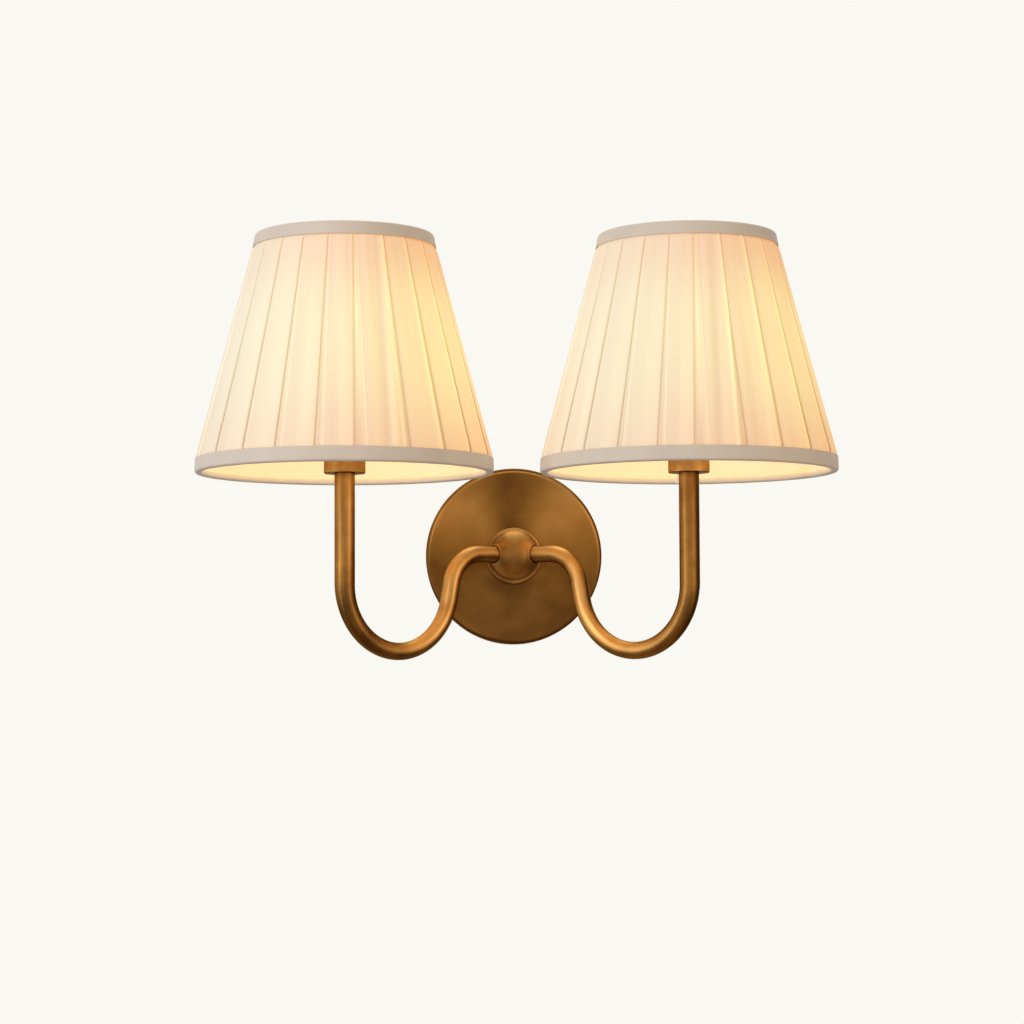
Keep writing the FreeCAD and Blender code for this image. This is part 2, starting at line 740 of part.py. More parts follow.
def holder_cup():
    """Turned brass cup with square edges, its floor drilled for the bush's tail."""
    outer = CUP_D / 2
    inner = outer - CUP_WALL
    hole = BUSH_THREAD_D / 2 + HOLE_PLAY
    low = ARM_TOP_Z
    return lathe(
        (hole, low),
        (outer - CUP_EDGE, low),
        (outer, low + CUP_EDGE),
        (outer, low + CUP_H),
        (inner, low + CUP_H),
        (inner, low + CUP_FLOOR),
        (hole, low + CUP_FLOOR),
    )


def holder_base():
    """Moulded base in the cup: threaded on the bush, hollow above, with a spigot for the skirt."""
    thread = BUSH_THREAD_D / 2 + SEAT_FIT
    hollow = SPIGOT_R - SPIGOT_WALL
    return lathe(
        (thread, BASE_Z),
        (BASE_R, BASE_Z),
        (BASE_R, SKIRT_Z),
        (SPIGOT_R, SKIRT_Z),
        (SPIGOT_R, SPIGOT_TOP_Z),
        (hollow, SPIGOT_TOP_Z),
        (hollow, BASE_Z + HOLDER_BASE_FLOOR),
        (thread, BASE_Z + HOLDER_BASE_FLOOR),
    )


def holder_skirt():
    """Moulded skirt over the spigot, with the collar that the shade stands on and a threaded outside."""
    spigot = SPIGOT_R + SEAT_FIT
    thread = SKIRT_THREAD_D / 2
    return lathe(
        (spigot, SKIRT_Z),
        (BASE_R, SKIRT_Z),
        (BASE_R, COLLAR_Z),
        (COLLAR_R, COLLAR_Z),
        (COLLAR_R, COLLAR_TOP_Z),
        (thread, COLLAR_TOP_Z),
        (thread, SKIRT_TOP_Z - SKIRT_LEAD_IN),
        (thread - SKIRT_LEAD_IN, SKIRT_TOP_Z),
        (SKIRT_BORE_R, SKIRT_TOP_Z),
        (SKIRT_BORE_R, SPIGOT_TOP_Z),
        (spigot, SPIGOT_TOP_Z),
    )


def contact_block():
    """Insulating disc on the spigot that carries the live parts, drilled for two terminals."""
    radius = SKIRT_BORE_R - SEAT_FIT
    block = Part.makeCylinder(radius, CONTACT_BLOCK_H, point(0, 0, SPIGOT_TOP_Z))
    inset = (radius + SHELL_R) / 2
    hole_r = (radius - SHELL_R) / 3
    drills = [
        Part.makeCylinder(hole_r, CONTACT_BLOCK_H, point(0, side * inset, SPIGOT_TOP_Z)) for side in (-1, 1)
    ]
    return block.cut(drills)


def screw_shell():
    """Thin brass shell for the bulb's cap, with a turned-out lip at its mouth."""
    outer = SHELL_R
    inner = outer - SHELL_WALL
    top = SHELL_TOP_Z
    return lathe(
        (inner, SHELL_Z),
        (outer, SHELL_Z),
        (outer, top - SHELL_WALL),
        (outer + SHELL_LIP, top - SHELL_WALL),
        (outer + SHELL_LIP, top),
        (inner, top),
    )


def centre_contact():
    """Bronze leaf on the block, cranked up under the bulb's tip."""
    half = LEAF_LENGTH / 2
    low = SHELL_Z
    high = low + LEAF_RISE
    ramp = LEAF_LENGTH / 4
    leaf = Part.Face(
        outline(
            (-half, low),
            (-half + ramp, low),
            (-half + 2 * ramp, high),
            (half, high),
            (half, high + LEAF_T),
            (-half + 2 * ramp - LEAF_T / 2, high + LEAF_T),
            (-half + ramp - LEAF_T / 2, low + LEAF_T),
            (-half, low + LEAF_T),
        )
    ).extrude(point(0, LEAF_W, 0))
    leaf.translate(point(0, -LEAF_W / 2, 0))
    return leaf


def shade_ring():
    """Ring with a notched edge that screws down on the shade's fitter."""
    bore = SKIRT_THREAD_D / 2 + THREAD_FIT
    outer = bore + RING_WALL
    ring = tube(outer, bore, RING_Z, RING_H)
    notches = []
    for i in range(RING_NOTCHES):
        angle = 2 * math.pi * i / RING_NOTCHES
        x = outer * math.cos(angle)
        y = outer * math.sin(angle)
        notches.append(Part.makeCylinder(RING_NOTCH_D / 2, RING_H, point(x, y, RING_Z)))
    return ring.cut(notches)


# Bulb

def bulb_cap():
    """Small-screw cap: thin metal cylinder that flares to the glass."""
    radius = CAP_D / 2
    flare = CAP_FLARE_R
    step = CAP_Z + CAP_H
    return lathe(
        (radius - CAP_WALL, CAP_Z),
        (radius, CAP_Z),
        (radius, step),
        (flare, step + CAP_FLARE_H / 2),
        (flare, GLASS_Z),
        (flare - CAP_WALL, GLASS_Z),
        (flare - CAP_WALL, step + CAP_FLARE_H / 2 + CAP_WALL),
        (radius - CAP_WALL, step + CAP_WALL),
    )


def bulb_contact():
    """Insulating cone that closes the cap, with the contact at its tip."""
    tip_r = CONTACT_TIP_D / 2
    cone_z = TIP_Z + CONTACT_TIP_H
    return lathe(
        (0, TIP_Z),
        (tip_r - CONTACT_TIP_H / 2, TIP_Z),
        (tip_r, cone_z),
        (CAP_D / 2 - 2 * CAP_WALL, CAP_Z),
        (0, CAP_Z),
    )


def glass_outline(wall):
    """Belly and tip arcs of the candle glass, drawn in by a wall thickness."""
    neck = GLASS_NECK_D / 2 - wall
    belly = GLASS_D / 2 - wall
    rise = GLASS_BELLY_H
    low_r = ((belly - neck) ** 2 + rise ** 2) / (2 * (belly - neck))
    low_turn = math.asin(rise / low_r)
    low_mid = (belly - low_r * (1 - math.cos(low_turn / 2)), GLASS_Z + rise - low_r * math.sin(low_turn / 2))
    tip_r = GLASS_TIP_R
    top_z = GLASS_Z + GLASS_H - wall
    reach = top_z - tip_r - GLASS_Z - rise
    high_r = (belly ** 2 + reach ** 2 - tip_r ** 2) / (2 * (belly - tip_r))
    turn = math.atan2(reach, high_r - belly)
    high_mid = (belly - high_r * (1 - math.cos(turn / 2)), GLASS_Z + rise + high_r * math.sin(turn / 2))
    meet = (tip_r * math.cos(turn), top_z - tip_r + tip_r * math.sin(turn))
    over = (turn + math.pi / 2) / 2
    cap_mid = (tip_r * math.cos(over), top_z - tip_r + tip_r * math.sin(over))
    belly_point = (belly, GLASS_Z + rise)
    return neck, low_mid, belly_point, high_mid, meet, cap_mid, (0, top_z)


def bulb_glass():
    """Blown candle envelope: neck, belly and drawn tip, hollow."""
    neck, low_mid, belly, high_mid, meet, cap_mid, tip = glass_outline(0)
    neck_in, low_in, belly_in, high_in, meet_in, cap_in, tip_in = glass_outline(GLASS_WALL)
    return lathe(
        (neck, GLASS_Z),
        (low_mid, belly),
        (high_mid, meet),
        (cap_mid, tip),
        tip_in,
        (cap_in, meet_in),
        (high_in, belly_in),
        (low_in, (neck_in, GLASS_Z)),
    )


def bulb_stem():
    """Glass stem: flare seated on the cap's rim and a post up the middle."""
    seat = CAP_FLARE_R - CAP_WALL - SEAT_FIT
    flare = GLASS_NECK_D / 2 - GLASS_WALL - STEM_FLARE_INSET
    post = STEM_POST_D / 2
    waist = (post + (flare - post) * 0.25, GLASS_Z + STEM_FLARE_H * 0.45)
    return lathe(
        (0, GLASS_Z - CAP_WALL),
        (seat, GLASS_Z - CAP_WALL),
        (seat, GLASS_Z),
        (flare, GLASS_Z),
        (waist, (post, GLASS_Z + STEM_FLARE_H)),
        (post, GLASS_Z + STEM_POST_H - post),
        quarter((0, GLASS_Z + STEM_POST_H - post), post, 0, 90),
    )


def bulb_filaments():
    """Light-emitting rods leaning round the post, each hung on a wire at its foot and its head."""
    head_h = STEM_POST_H - STEM_POST_D
    group = []
    for i in range(FILAMENTS):
        foot = point(FILAMENT_FOOT_R, 0, GLASS_Z + FILAMENT_FOOT_H)
        head = point(FILAMENT_HEAD_R, 0, GLASS_Z + head_h)
        rod = Part.makeCylinder(FILAMENT_D / 2, (head - foot).Length, foot, head - foot)
        post = STEM_POST_D / 2 + SEAT_FIT
        wires = [
            Part.makeCylinder(FILAMENT_WIRE_D / 2, end.x - post, point(post, 0, end.z), point(1, 0, 0))
            for end in (foot, head)
        ]
        filament = rod.fuse(wires)
        filament.rotate(ORIGIN, UP, 360 * i / FILAMENTS + 45)
        group.append(filament)
    return Part.makeCompound(group)


# Shade

def rim_r(z):
    """Radius of the shade's outermost surface, the tapes, at a height."""
    return SHADE_BOTTOM_D / 2 - (z - SHADE_Z) * SHADE_SLOPE


def tape_inner_r(z):
    return rim_r(z) - TAPE_T


def land_r(z):
    return tape_inner_r(z) - SEAT_FIT


def valley_r(z):
    return land_r(z) - PLEAT_RISE


def cover_inner_r(z):
    return valley_r(z) - CLOTH_T


def lining_outer_r(z):
    return cover_inner_r(z) - SEAT_FIT


def lining_inner_r(z):
    return lining_outer_r(z) - LINING_T


def cone_between(radius_at, low, high):
    return Part.makeCone(radius_at(low), radius_at(high), high - low, point(0, 0, low))


def lining():
    """Stiff conical lining, open at both ends, that holds the shade's form."""
    low = SHADE_Z + TAPE_T
    high = SHADE_TOP_Z - TAPE_T
    return cone_between(lining_outer_r, low, high).cut(cone_between(lining_inner_r, low, high))


def pleat_section(z, gap):
    """Outline of the pleated cloth at a height: wide lands of folded cloth with a valley between two."""
    land = land_r(z)
    valley = valley_r(z)
    step = 2 * math.pi / PLEATS
    half_gap = gap / 2 / valley
    first = math.radians(PLEAT_PHASE - 90)

    def at(radius, angle):
        return point(radius * math.cos(angle), radius * math.sin(angle), z)

    edges = []
    for i in range(PLEATS):
        middle = first + i * step
        begin = middle - half_gap
        end = middle + half_gap
        following = begin + step
        between = (end + following) / 2
        edges.append(Part.Arc(at(valley, begin), at(valley, middle), at(valley, end)).toShape())
        edges.append(Part.makeLine(at(valley, end), at(land, end)))
        edges.append(Part.Arc(at(land, end), at(land, between), at(land, following)).toShape())
        edges.append(Part.makeLine(at(land, following), at(valley, following)))
    return Part.Wire(edges)


def pleated_cover():
    """Box-pleated cloth: each pleat a raised, tapering panel, nearly closed at the top and parted below."""
    low = SHADE_Z + TAPE_T
    high = SHADE_TOP_Z - TAPE_T
    sections = [pleat_section(low, PLEAT_GAP_BOTTOM), pleat_section(high, PLEAT_GAP_TOP)]
    return Part.makeLoft(sections, True, True).cut(cone_between(cover_inner_r, low, high))


def rim_wire(z):
    """Wire ring inside the lining at a height."""
    ring_r = lining_inner_r(z) - RIM_WIRE_D / 2 / math.cos(math.atan(SHADE_SLOPE)) - SEAT_FIT
    return Part.makeTorus(ring_r, RIM_WIRE_D / 2, point(0, 0, z))


def bottom_wire_z():
    return SHADE_Z + TAPE_T + RIM_WIRE_D / 2


def top_wire_z():
    return SHADE_TOP_Z - TAPE_T - RIM_WIRE_D / 2


def binding_inner_r(z):
    """Radius of the tape's turned-in leg where it passes the rim wire."""
    return lining_inner_r(z) - RIM_WIRE_D - 2 * SEAT_FIT


def bottom_tape():
    """Cloth binding folded round the bottom rim, slit where the fitter's arms pass."""
    low = SHADE_Z
    web = low + TAPE_T
    outside = low + TAPE_BOTTOM_W
    inside = low + TAPE_TURN_IN
    wire = binding_inner_r(bottom_wire_z())
    tape = lathe(
        (wire - TAPE_T, low + TAPE_T),
        (wire, low),
        (rim_r(low) - TAPE_T / 2, low),
        (rim_r(web), web),
        (rim_r(outside), outside),
        (tape_inner_r(outside), outside),
        (tape_inner_r(web), web),
        (wire, web),
        (wire, inside),
        (wire - TAPE_T, inside),
    )
    slit = sweep(fitter_arm_edges(), FITTER_ARM_D / 2 + TAPE_SLIT_PLAY)
    return tape.cut(around_fitter(slit))


def top_tape():
    """Cloth binding folded round the top rim."""
    high = SHADE_TOP_Z
    web = high - TAPE_T
    outside = high - TAPE_TOP_W
    inside = high - TAPE_TURN_IN
    wire = binding_inner_r(top_wire_z())
    return lathe(
        (wire - TAPE_T, inside),
        (wire, inside),
        (wire, web),
        (tape_inner_r(web), web),
        (tape_inner_r(outside), outside),
        (rim_r(outside), outside),
        (rim_r(web), web),
        (rim_r(high) - TAPE_T / 2, high),
        (wire, high),
        (wire - TAPE_T, high - TAPE_T),
    )


def fitter_arm_edges():
    """Centreline of a fitter arm in the x, z plane: out from the washer, then down to the bottom rim wire."""
    wire_z = bottom_wire_z()
    level = FITTER_Z - FITTER_ARM_D / 2 + FITTER_WELD
    start = point(COLLAR_R + 2 * REST_GAP, 0, level)
    elbow = point(FITTER_R + FITTER_ELBOW, 0, level)
    end = point(lining_inner_r(wire_z) - RIM_WIRE_D / 2 - SEAT_FIT, 0, wire_z)
    slope = end - elbow
    turn = math.atan2(-slope.z, slope.x)
    tangent = FITTER_BEND_R * math.tan(turn / 2)
    slope.normalize()
    bend_in = elbow - point(tangent, 0, 0)
    bend_out = elbow + slope * tangent
    sag = FITTER_BEND_R * (1 - math.cos(turn / 2))
    bend_mid = bend_in + point(FITTER_BEND_R * math.sin(turn / 2), 0, -sag)
    return [
        Part.makeLine(start, bend_in),
        Part.Arc(bend_in, bend_mid, bend_out).toShape(),
        Part.makeLine(bend_out, end),
    ]


def around_fitter(shape):
    """Copies of a shape at each arm of the fitter, one of them straight to the wall."""
    copies = []
    for i in range(FITTER_ARMS):
        turned = shape.copy()
        turned.rotate(ORIGIN, UP, 90 + 360 * i / FITTER_ARMS)
        copies.append(turned)
    return copies


def fitter():
    """Washer that drops over the lampholder, welded on wire arms that slope down to the bottom rim wire."""
    washer = tube(FITTER_R, FITTER_BORE_R, FITTER_Z, FITTER_T)
    bar = sweep(fitter_arm_edges(), FITTER_ARM_D / 2).cut(rim_wire(bottom_wire_z()))
    spoke = max(bar.Solids, key=lambda solid: solid.Volume)
    return washer.fuse(around_fitter(spoke))


def side_pieces():
    """Pieces that stand on the top of an arm, modelled about Z."""
    return {
        "arm_bush": arm_bush(),
        "holder_cup": holder_cup(),
        "holder_base": holder_base(),
        "holder_skirt": holder_skirt(),
        "contact_block": contact_block(),
        "screw_shell": screw_shell(),
        "centre_contact": centre_contact(),
        "shade_ring": shade_ring(),
        "bulb_cap": bulb_cap(),
        "bulb_contact": bulb_contact(),
        "bulb_glass": bulb_glass(),
        "bulb_stem": bulb_stem(),
        "bulb_filaments": bulb_filaments(),
        "shade_fitter": fitter(),
        "shade_bottom_wire": rim_wire(bottom_wire_z()),
        "shade_top_wire": rim_wire(top_wire_z()),
        "shade_lining": lining(),
        "shade_cover": pleated_cover(),
        "shade_bottom_tape": bottom_tape(),
        "shade_top_tape": top_tape(),
    }


def main():
    nodes = {
        "wall_bracket": wall_bracket(),
        "backplate": backplate(),
        "plate_screws": plate_screws(),
        "hub": hub(),
        "arm_screws": arm_screws(),
        "hub_nipple": hub_nipple(),
        "hub_washer": hub_washer(),
        "hub_nut": hub_nut(),
        "terminal_block": terminal_block(),
        "terminal_barrels": terminal_barrels(),
        "terminal_screws": terminal_screws(),
        "earth_washer": earth_washer(),
        "earth_screw": earth_screw(),
    }
    for name, shape in (("arm", arm()), ("lead", lead())):
        nodes["right_" + name] = shape
        nodes["left_" + name] = mirrored(shape)
    for name, shape in side_pieces().items():
        for side, x in (("left", -STEM_X), ("right", STEM_X)):
            placed = shape.copy()
            placed.translate(point(x, -STEM_OUT, 0))
            nodes[side + "_" + name] = placed
    os.makedirs("parts", exist_ok=True)
    for name, shape in nodes.items():
        shape.exportStep("parts/" + name + ".step")
    print(len(nodes), "nodes")


main()
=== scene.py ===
"""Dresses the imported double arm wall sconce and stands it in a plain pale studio.

Metres, in the part's own frame.
"""
import bmesh
import bpy
import math
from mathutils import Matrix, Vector, noise


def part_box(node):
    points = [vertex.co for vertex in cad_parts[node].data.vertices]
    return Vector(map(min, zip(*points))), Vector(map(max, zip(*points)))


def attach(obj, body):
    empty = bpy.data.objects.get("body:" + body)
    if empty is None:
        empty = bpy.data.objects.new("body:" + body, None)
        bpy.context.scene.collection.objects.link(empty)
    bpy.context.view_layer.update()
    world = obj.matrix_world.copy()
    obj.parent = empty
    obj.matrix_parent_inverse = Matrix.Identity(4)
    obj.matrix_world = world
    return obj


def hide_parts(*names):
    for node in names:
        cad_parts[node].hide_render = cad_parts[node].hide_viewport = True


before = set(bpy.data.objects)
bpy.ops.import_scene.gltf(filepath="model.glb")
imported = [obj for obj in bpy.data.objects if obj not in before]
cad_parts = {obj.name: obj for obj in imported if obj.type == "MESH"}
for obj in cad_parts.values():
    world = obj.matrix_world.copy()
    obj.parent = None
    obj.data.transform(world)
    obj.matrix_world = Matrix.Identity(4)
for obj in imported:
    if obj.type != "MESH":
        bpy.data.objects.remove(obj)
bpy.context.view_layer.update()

# Studio camera. It stands below the backplate's middle, 1.95 m in front of the wall and a little to the left,
# and looks slightly up and to the right, as in the photograph.
CAMERA_PLACE = (-0.0449, -1.9536, -0.1006)
CAMERA_TURN_DEG = (93.906, 0.251, -1.280)
CAMERA_LENS = 95.7


def radians(angles_deg):
    return [math.radians(angle) for angle in angles_deg]


bpy.ops.object.camera_add(location=CAMERA_PLACE, rotation=radians(CAMERA_TURN_DEG))
camera = bpy.context.object
camera.data.lens = CAMERA_LENS
bpy.context.scene.camera = camera
bpy.context.scene.view_settings.view_transform = "Standard"

# Studio backdrop and floor. The backdrop is the world: a warm white to the camera and in metal and glass, and
# a weaker even light on everything else. The floor is a plain pale sheet, as far down as under a wall light.
BACKDROP = (0.956, 0.939, 0.887, 1)
EVEN_LIGHT = (1, 0.985, 0.96, 1)
EVEN_STRENGTH = 0.36
FLOOR_Z = -1.35
FLOOR_SIZE = 11.0
FLOOR_PALE = (0.93, 0.91, 0.87, 1)
FLOOR_PALEST = (0.96, 0.945, 0.91, 1)


def fill_inputs(tree, node, inputs):
    """Links each input whose value is a socket, and sets the others."""
    for name, value in inputs.items():
        if isinstance(value, bpy.types.NodeSocket):
            tree.links.new(value, node.inputs[name])
        else:
            node.inputs[name].default_value = value


def add_node(tree, kind, inputs=None, **settings):
    node = tree.nodes.new("ShaderNode" + kind)
    for name, value in settings.items():
        setattr(node, name, value)
    fill_inputs(tree, node, inputs or {})
    return node


def math_node(tree, operation, *values, clamp=False):
    return add_node(tree, "Math", dict(enumerate(values)), operation=operation, use_clamp=clamp).outputs[0]


def mixed(tree, share, first, second, **settings):
    """Colour between two: the first where share is 0, the second where it is 1."""
    return add_node(tree, "Mix", {0: share, 6: first, 7: second}, data_type="RGBA", **settings).outputs[2]


def own_place(tree):
    """Place on the piece itself, which stays the same when the piece moves."""
    return add_node(tree, "TexCoord").outputs["Object"]


def noise_map(tree, place, scale, detail, roughness=0.5, distortion=0.0):
    """Soft noise from 0 to 1 over a place."""
    inputs = {
        "Vector": place, "Scale": scale, "Detail": detail, "Roughness": roughness, "Distortion": distortion,
    }
    return add_node(tree, "TexNoise", inputs).outputs[0]


world = bpy.data.worlds.new("studio")
bpy.context.scene.world = world
world.use_nodes = True
air = world.node_tree
air.nodes.clear()
ray = add_node(air, "LightPath").outputs
seen = math_node(air, "ADD", ray["Is Camera Ray"], ray["Is Glossy Ray"])
seen = math_node(air, "ADD", seen, ray["Is Transmission Ray"], clamp=True)
even = add_node(air, "Background", {"Color": EVEN_LIGHT, "Strength": EVEN_STRENGTH})
backdrop = add_node(air, "Background", {"Color": BACKDROP, "Strength": 1.0})
either = add_node(air, "MixShader", {0: seen, 1: even.outputs[0], 2: backdrop.outputs[0]})
add_node(air, "OutputWorld", {"Surface": either.outputs[0]})


def new_material(name):
    """Empty node material and its tree."""
    material = bpy.data.materials.new(name)
    material.use_nodes = True
    material.node_tree.nodes.clear()
    return material, material.node_tree


def finish_material(tree, inputs):
    """Ends a tree in one Principled shader with the given inputs."""
    shader = add_node(tree, "BsdfPrincipled", inputs)
    add_node(tree, "OutputMaterial", {"Surface": shader.outputs[0]})


bpy.ops.mesh.primitive_plane_add(size=FLOOR_SIZE, location=(0, 0, FLOOR_Z))
floor = bpy.context.object
floor.name = "floor"
floor_paint, tree = new_material("floor_paint")
mottle = noise_map(tree, own_place(tree), scale=1.4, detail=3.0)
finish_material(tree, {"Base Color": mixed(tree, mottle, FLOOR_PALE, FLOOR_PALEST), "Roughness": 0.75})
floor.data.materials.append(floor_paint)

# Studio lamps: a broad soft key high on the left, a weaker warm fill on the right, an upright strip beside
# each arm that draws the long highlights down the tube, and a soft top light behind.
SUBJECT = Vector((0.0, -0.08, 0.05))


def soft_lamp(name, place, size, watts, color):
    """Rectangular lamp aimed at the sconce."""
    toward = (SUBJECT - Vector(place)).to_track_quat("-Z", "Y").to_euler()
    bpy.ops.object.light_add(type="AREA", location=place, rotation=toward)
    lamp = bpy.context.object
    lamp.name = name
    lamp.visible_camera = False
    lamp.data.shape = "RECTANGLE"
    lamp.data.size, lamp.data.size_y = size
    lamp.data.energy = watts
    lamp.data.color = color


soft_lamp("key", place=(-1.35, -1.55, 1.10), size=(1.10, 1.10), watts=20, color=(1.0, 0.985, 0.96))
soft_lamp("fill", place=(1.60, -1.50, 0.35), size=(1.00, 1.20), watts=5, color=(1.0, 0.66, 0.36))
soft_lamp("left_strip", place=(-1.15, -0.80, -0.05), size=(0.18, 1.30), watts=4.6, color=(0.78, 0.86, 1.0))
soft_lamp("right_strip", place=(1.10, -0.86, -0.05), size=(0.20, 1.20), watts=2.6, color=(1.0, 0.84, 0.60))
soft_lamp("top", place=(0.0, 0.50, 1.50), size=(1.20, 0.80), watts=5, color=(1.0, 0.97, 0.93))

# Dark cards of felt beside and under the sconce, out of the camera's sight and seen only in the metal, where
# they draw the dark edges that show the tubes and the dome to be round.
RIGHT_FELT = (0.110, 0.075, 0.045, 1)
LOW_FELT = (0.46, 0.32, 0.18, 1)
FELT_WEAR = 1.35


def dark_card(name, place, turn_deg, size, color):
    """Card that only mirror reflections can see."""
    felt, tree = new_material(name + "_felt")
    nap = noise_map(tree, own_place(tree), scale=3.0, detail=2.0)
    worn = [min(1.0, value * FELT_WEAR) for value in color[:3]] + [1]
    finish_material(tree, {"Base Color": mixed(tree, nap, color, worn), "Roughness": 1.0})
    bpy.ops.mesh.primitive_plane_add(size=1.0, location=place, rotation=radians(turn_deg))
    card = bpy.context.object
    card.name = name
    card.scale = (size[0], size[1], 1)
    card.data.materials.append(felt)
    card.visible_camera = False
    card.visible_diffuse = False
    card.visible_transmission = False
    card.visible_shadow = False


dark_card("right_card", place=(1.05, 0.25, 0.0), turn_deg=(90, 0, 78), size=(1.0, 2.4), color=RIGHT_FELT)
dark_card("low_card", place=(0.0, -0.55, -1.10), turn_deg=(0, 0, 0), size=(2.6, 1.5), color=LOW_FELT)

# Aged brass of the backplate, hub, arms and cups: lacquered brass, darkened and then rubbed back by hand, so
# brown clouds lie over a warm metal. The plate was spun, the hub and cups turned and the tubes drawn, and all
# keep the fine lines of it. Much of what is made brighter or darker as rubbed is painted light: painted
# highlights, reflections and shade, set where light falls on each piece.
BRASS_DARK = (0.125, 0.052, 0.011, 1)
BRASS_MIDDLE = (0.300, 0.135, 0.028, 1)
BRASS_BRIGHT = (0.560, 0.290, 0.085, 1)
CUP_MIDDLE = (0.300, 0.148, 0.036, 1)
CUP_BRIGHT = (0.560, 0.315, 0.105, 1)
GLANCING_TINT = (0.72, 0.52, 0.34, 1)
LACQUER = {"Coat Weight": 0.08, "Coat IOR": 1.5}
SIDES = (("left", -1), ("right", 1))
PLATE_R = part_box("backplate")[1].x
# The plate's outer rim gets painted shade, and its rolled edge just inside it a painted highlight. The hub's
# socket rims are made brighter.
PLATE_RIM_SHADE_R = PLATE_R - 0.0020
PLATE_RIM_SHADE_W = 0.0009
EDGE_HIGHLIGHT_R = PLATE_R - 0.0025
EDGE_HIGHLIGHT_W = 0.0005
SOCKET_RIM_R = 0.0070
SOCKET_RIM_W = 0.0004
SOCKET_Y = -0.034
cup_low, cup_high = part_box("right_holder_cup")
CUP_X = (cup_low.x + cup_high.x) / 2
CUP_Y = (cup_low.y + cup_high.y) / 2
ARM_TURN = math.atan2(SOCKET_Y - CUP_Y, CUP_X)


def new_group(name, inputs, outputs):
    """Empty shader node group with its input sockets and its output node. Inputs are (name, kind, value)."""
    group = bpy.data.node_groups.new(name, "ShaderNodeTree")
    for label, kind, value in inputs:
        socket = group.interface.new_socket(label, in_out="INPUT", socket_type="NodeSocket" + kind)
        if value is not None:
            socket.default_value = value
    for label, kind in outputs:
        group.interface.new_socket(label, in_out="OUTPUT", socket_type="NodeSocket" + kind)
    return group, group.nodes.new("NodeGroupInput").outputs, group.nodes.new("NodeGroupOutput")


def use_group(tree, group, inputs):
    """Places a node group in a tree and gives its outputs."""
    node = tree.nodes.new("ShaderNodeGroup")
    node.node_tree = group
    fill_inputs(tree, node, inputs)
    return node.outputs


def vector_node(tree, operation, *vectors):
    return add_node(tree, "VectorMath", dict(enumerate(vectors)), operation=operation).outputs[0]


def scaled(tree, vector, scale):
    return vector_node(tree, "MULTIPLY", vector, scale)


def times(tree, first, second):
    return math_node(tree, "MULTIPLY", first, second)


def add_share(tree, base, mask, amount):
    """The base plus the amount times the mask."""
    return math_node(tree, "MULTIPLY_ADD", mask, amount, base)


def ramp(tree, value, low, high, first=0.0, last=1.0, kind="SMOOTHSTEP"):
    """Goes from first, where value is low, to last, where it is high, and stays there beyond."""
    inputs = {0: value, 1: low, 2: high, 3: first, 4: last}
    return add_node(tree, "MapRange", inputs, interpolation_type=kind).outputs[0]


def bell(tree, value, middle, width):
    """1 where value is middle, and nearly 0 from two widths off."""
    off = math_node(tree, "DIVIDE", math_node(tree, "SUBTRACT", value, middle), width)
    return math_node(tree, "EXPONENT", times(tree, times(tree, off, off), -1.0))


def bump(tree, strength, distance, height):
    return add_node(tree, "Bump", {"Strength": strength, "Distance": distance, "Height": height}).outputs[0]


worked_metal, given, result = new_group(
    "worked_metal",
    [
        ("Clouds", "Vector", None), ("Lines", "Vector", None),
        ("Dark", "Color", BRASS_DARK), ("Middle", "Color", BRASS_MIDDLE), ("Bright", "Color", BRASS_BRIGHT),
        ("Rubbed And Lit", "Float", 0.5), ("Line Strength", "Float", 0.25), ("Line Depth", "Float", 0.00002),
        ("Smooth", "Float", 0.3), ("Rough", "Float", 0.45),
    ],
    [("Color", "Color"), ("Roughness", "Float"), ("Normal", "Vector")],
)
clouds = noise_map(worked_metal, given["Clouds"], scale=1.0, detail=2.5, roughness=0.45, distortion=0.3)
smudges = noise_map(worked_metal, given["Clouds"], scale=3.5, detail=3.0, roughness=0.55)
lines = noise_map(worked_metal, given["Lines"], scale=1.0, detail=3.0, roughness=0.7)
# Shine is how bright the metal is: how far it is rubbed, together with the painted highlights, reflections
# and shade that come in with it, and clouds, smudges and tool marks on top.
shine = math_node(worked_metal, "SUBTRACT", given["Rubbed And Lit"], 0.41)
shine = add_share(worked_metal, shine, clouds, 0.62)
shine = add_share(worked_metal, shine, smudges, 0.20)
line_shine = math_node(worked_metal, "SUBTRACT", lines, 0.5)
shine = add_share(worked_metal, shine, line_shine, given["Line Strength"])
tone = mixed(worked_metal, ramp(worked_metal, shine, 0.24, 0.58), given["Dark"], given["Middle"])
tone = mixed(worked_metal, ramp(worked_metal, shine, 0.50, 0.86), tone, given["Bright"])
grain = add_share(worked_metal, times(worked_metal, lines, 0.4), smudges, 0.6)
rough = ramp(worked_metal, grain, 0.3, 0.7, given["Smooth"], given["Rough"], kind="LINEAR")
marks = bump(worked_metal, 1.0, given["Line Depth"], lines)
fill_inputs(worked_metal, result, {"Color": tone, "Roughness": rough, "Normal": marks})


def metal_material(name, clouds, lines, settings, extra=None):
    """Worked metal. clouds, lines and any setting that is a function add their own nodes to the tree."""
    material, tree = new_material(name)
    place = own_place(tree)
    inputs = {"Clouds": clouds(tree, place), "Lines": lines(tree, place)}
    for label, value in settings.items():
        inputs[label] = value(tree, place) if callable(value) else value
    made = use_group(tree, worked_metal, inputs)
    shader = {
        "Base Color": made["Color"], "Roughness": made["Roughness"], "Normal": made["Normal"],
        "Metallic": 1.0, "Specular Tint": GLANCING_TINT,
    }
    shader.update(extra or {})
    finish_material(tree, shader)
    return material


def axes_of(tree, vector):
    return add_node(tree, "SeparateXYZ", {0: vector}).outputs


def facing_axes(tree):
    """X, Y and Z of the way that the surface faces."""
    return axes_of(tree, add_node(tree, "NewGeometry").outputs["True Normal"])


def diagonal(tree, first, second):
    """Longest side of a right-angled triangle with these two short sides."""
    return math_node(tree, "SQRT", add_share(tree, times(tree, second, second), first, first))


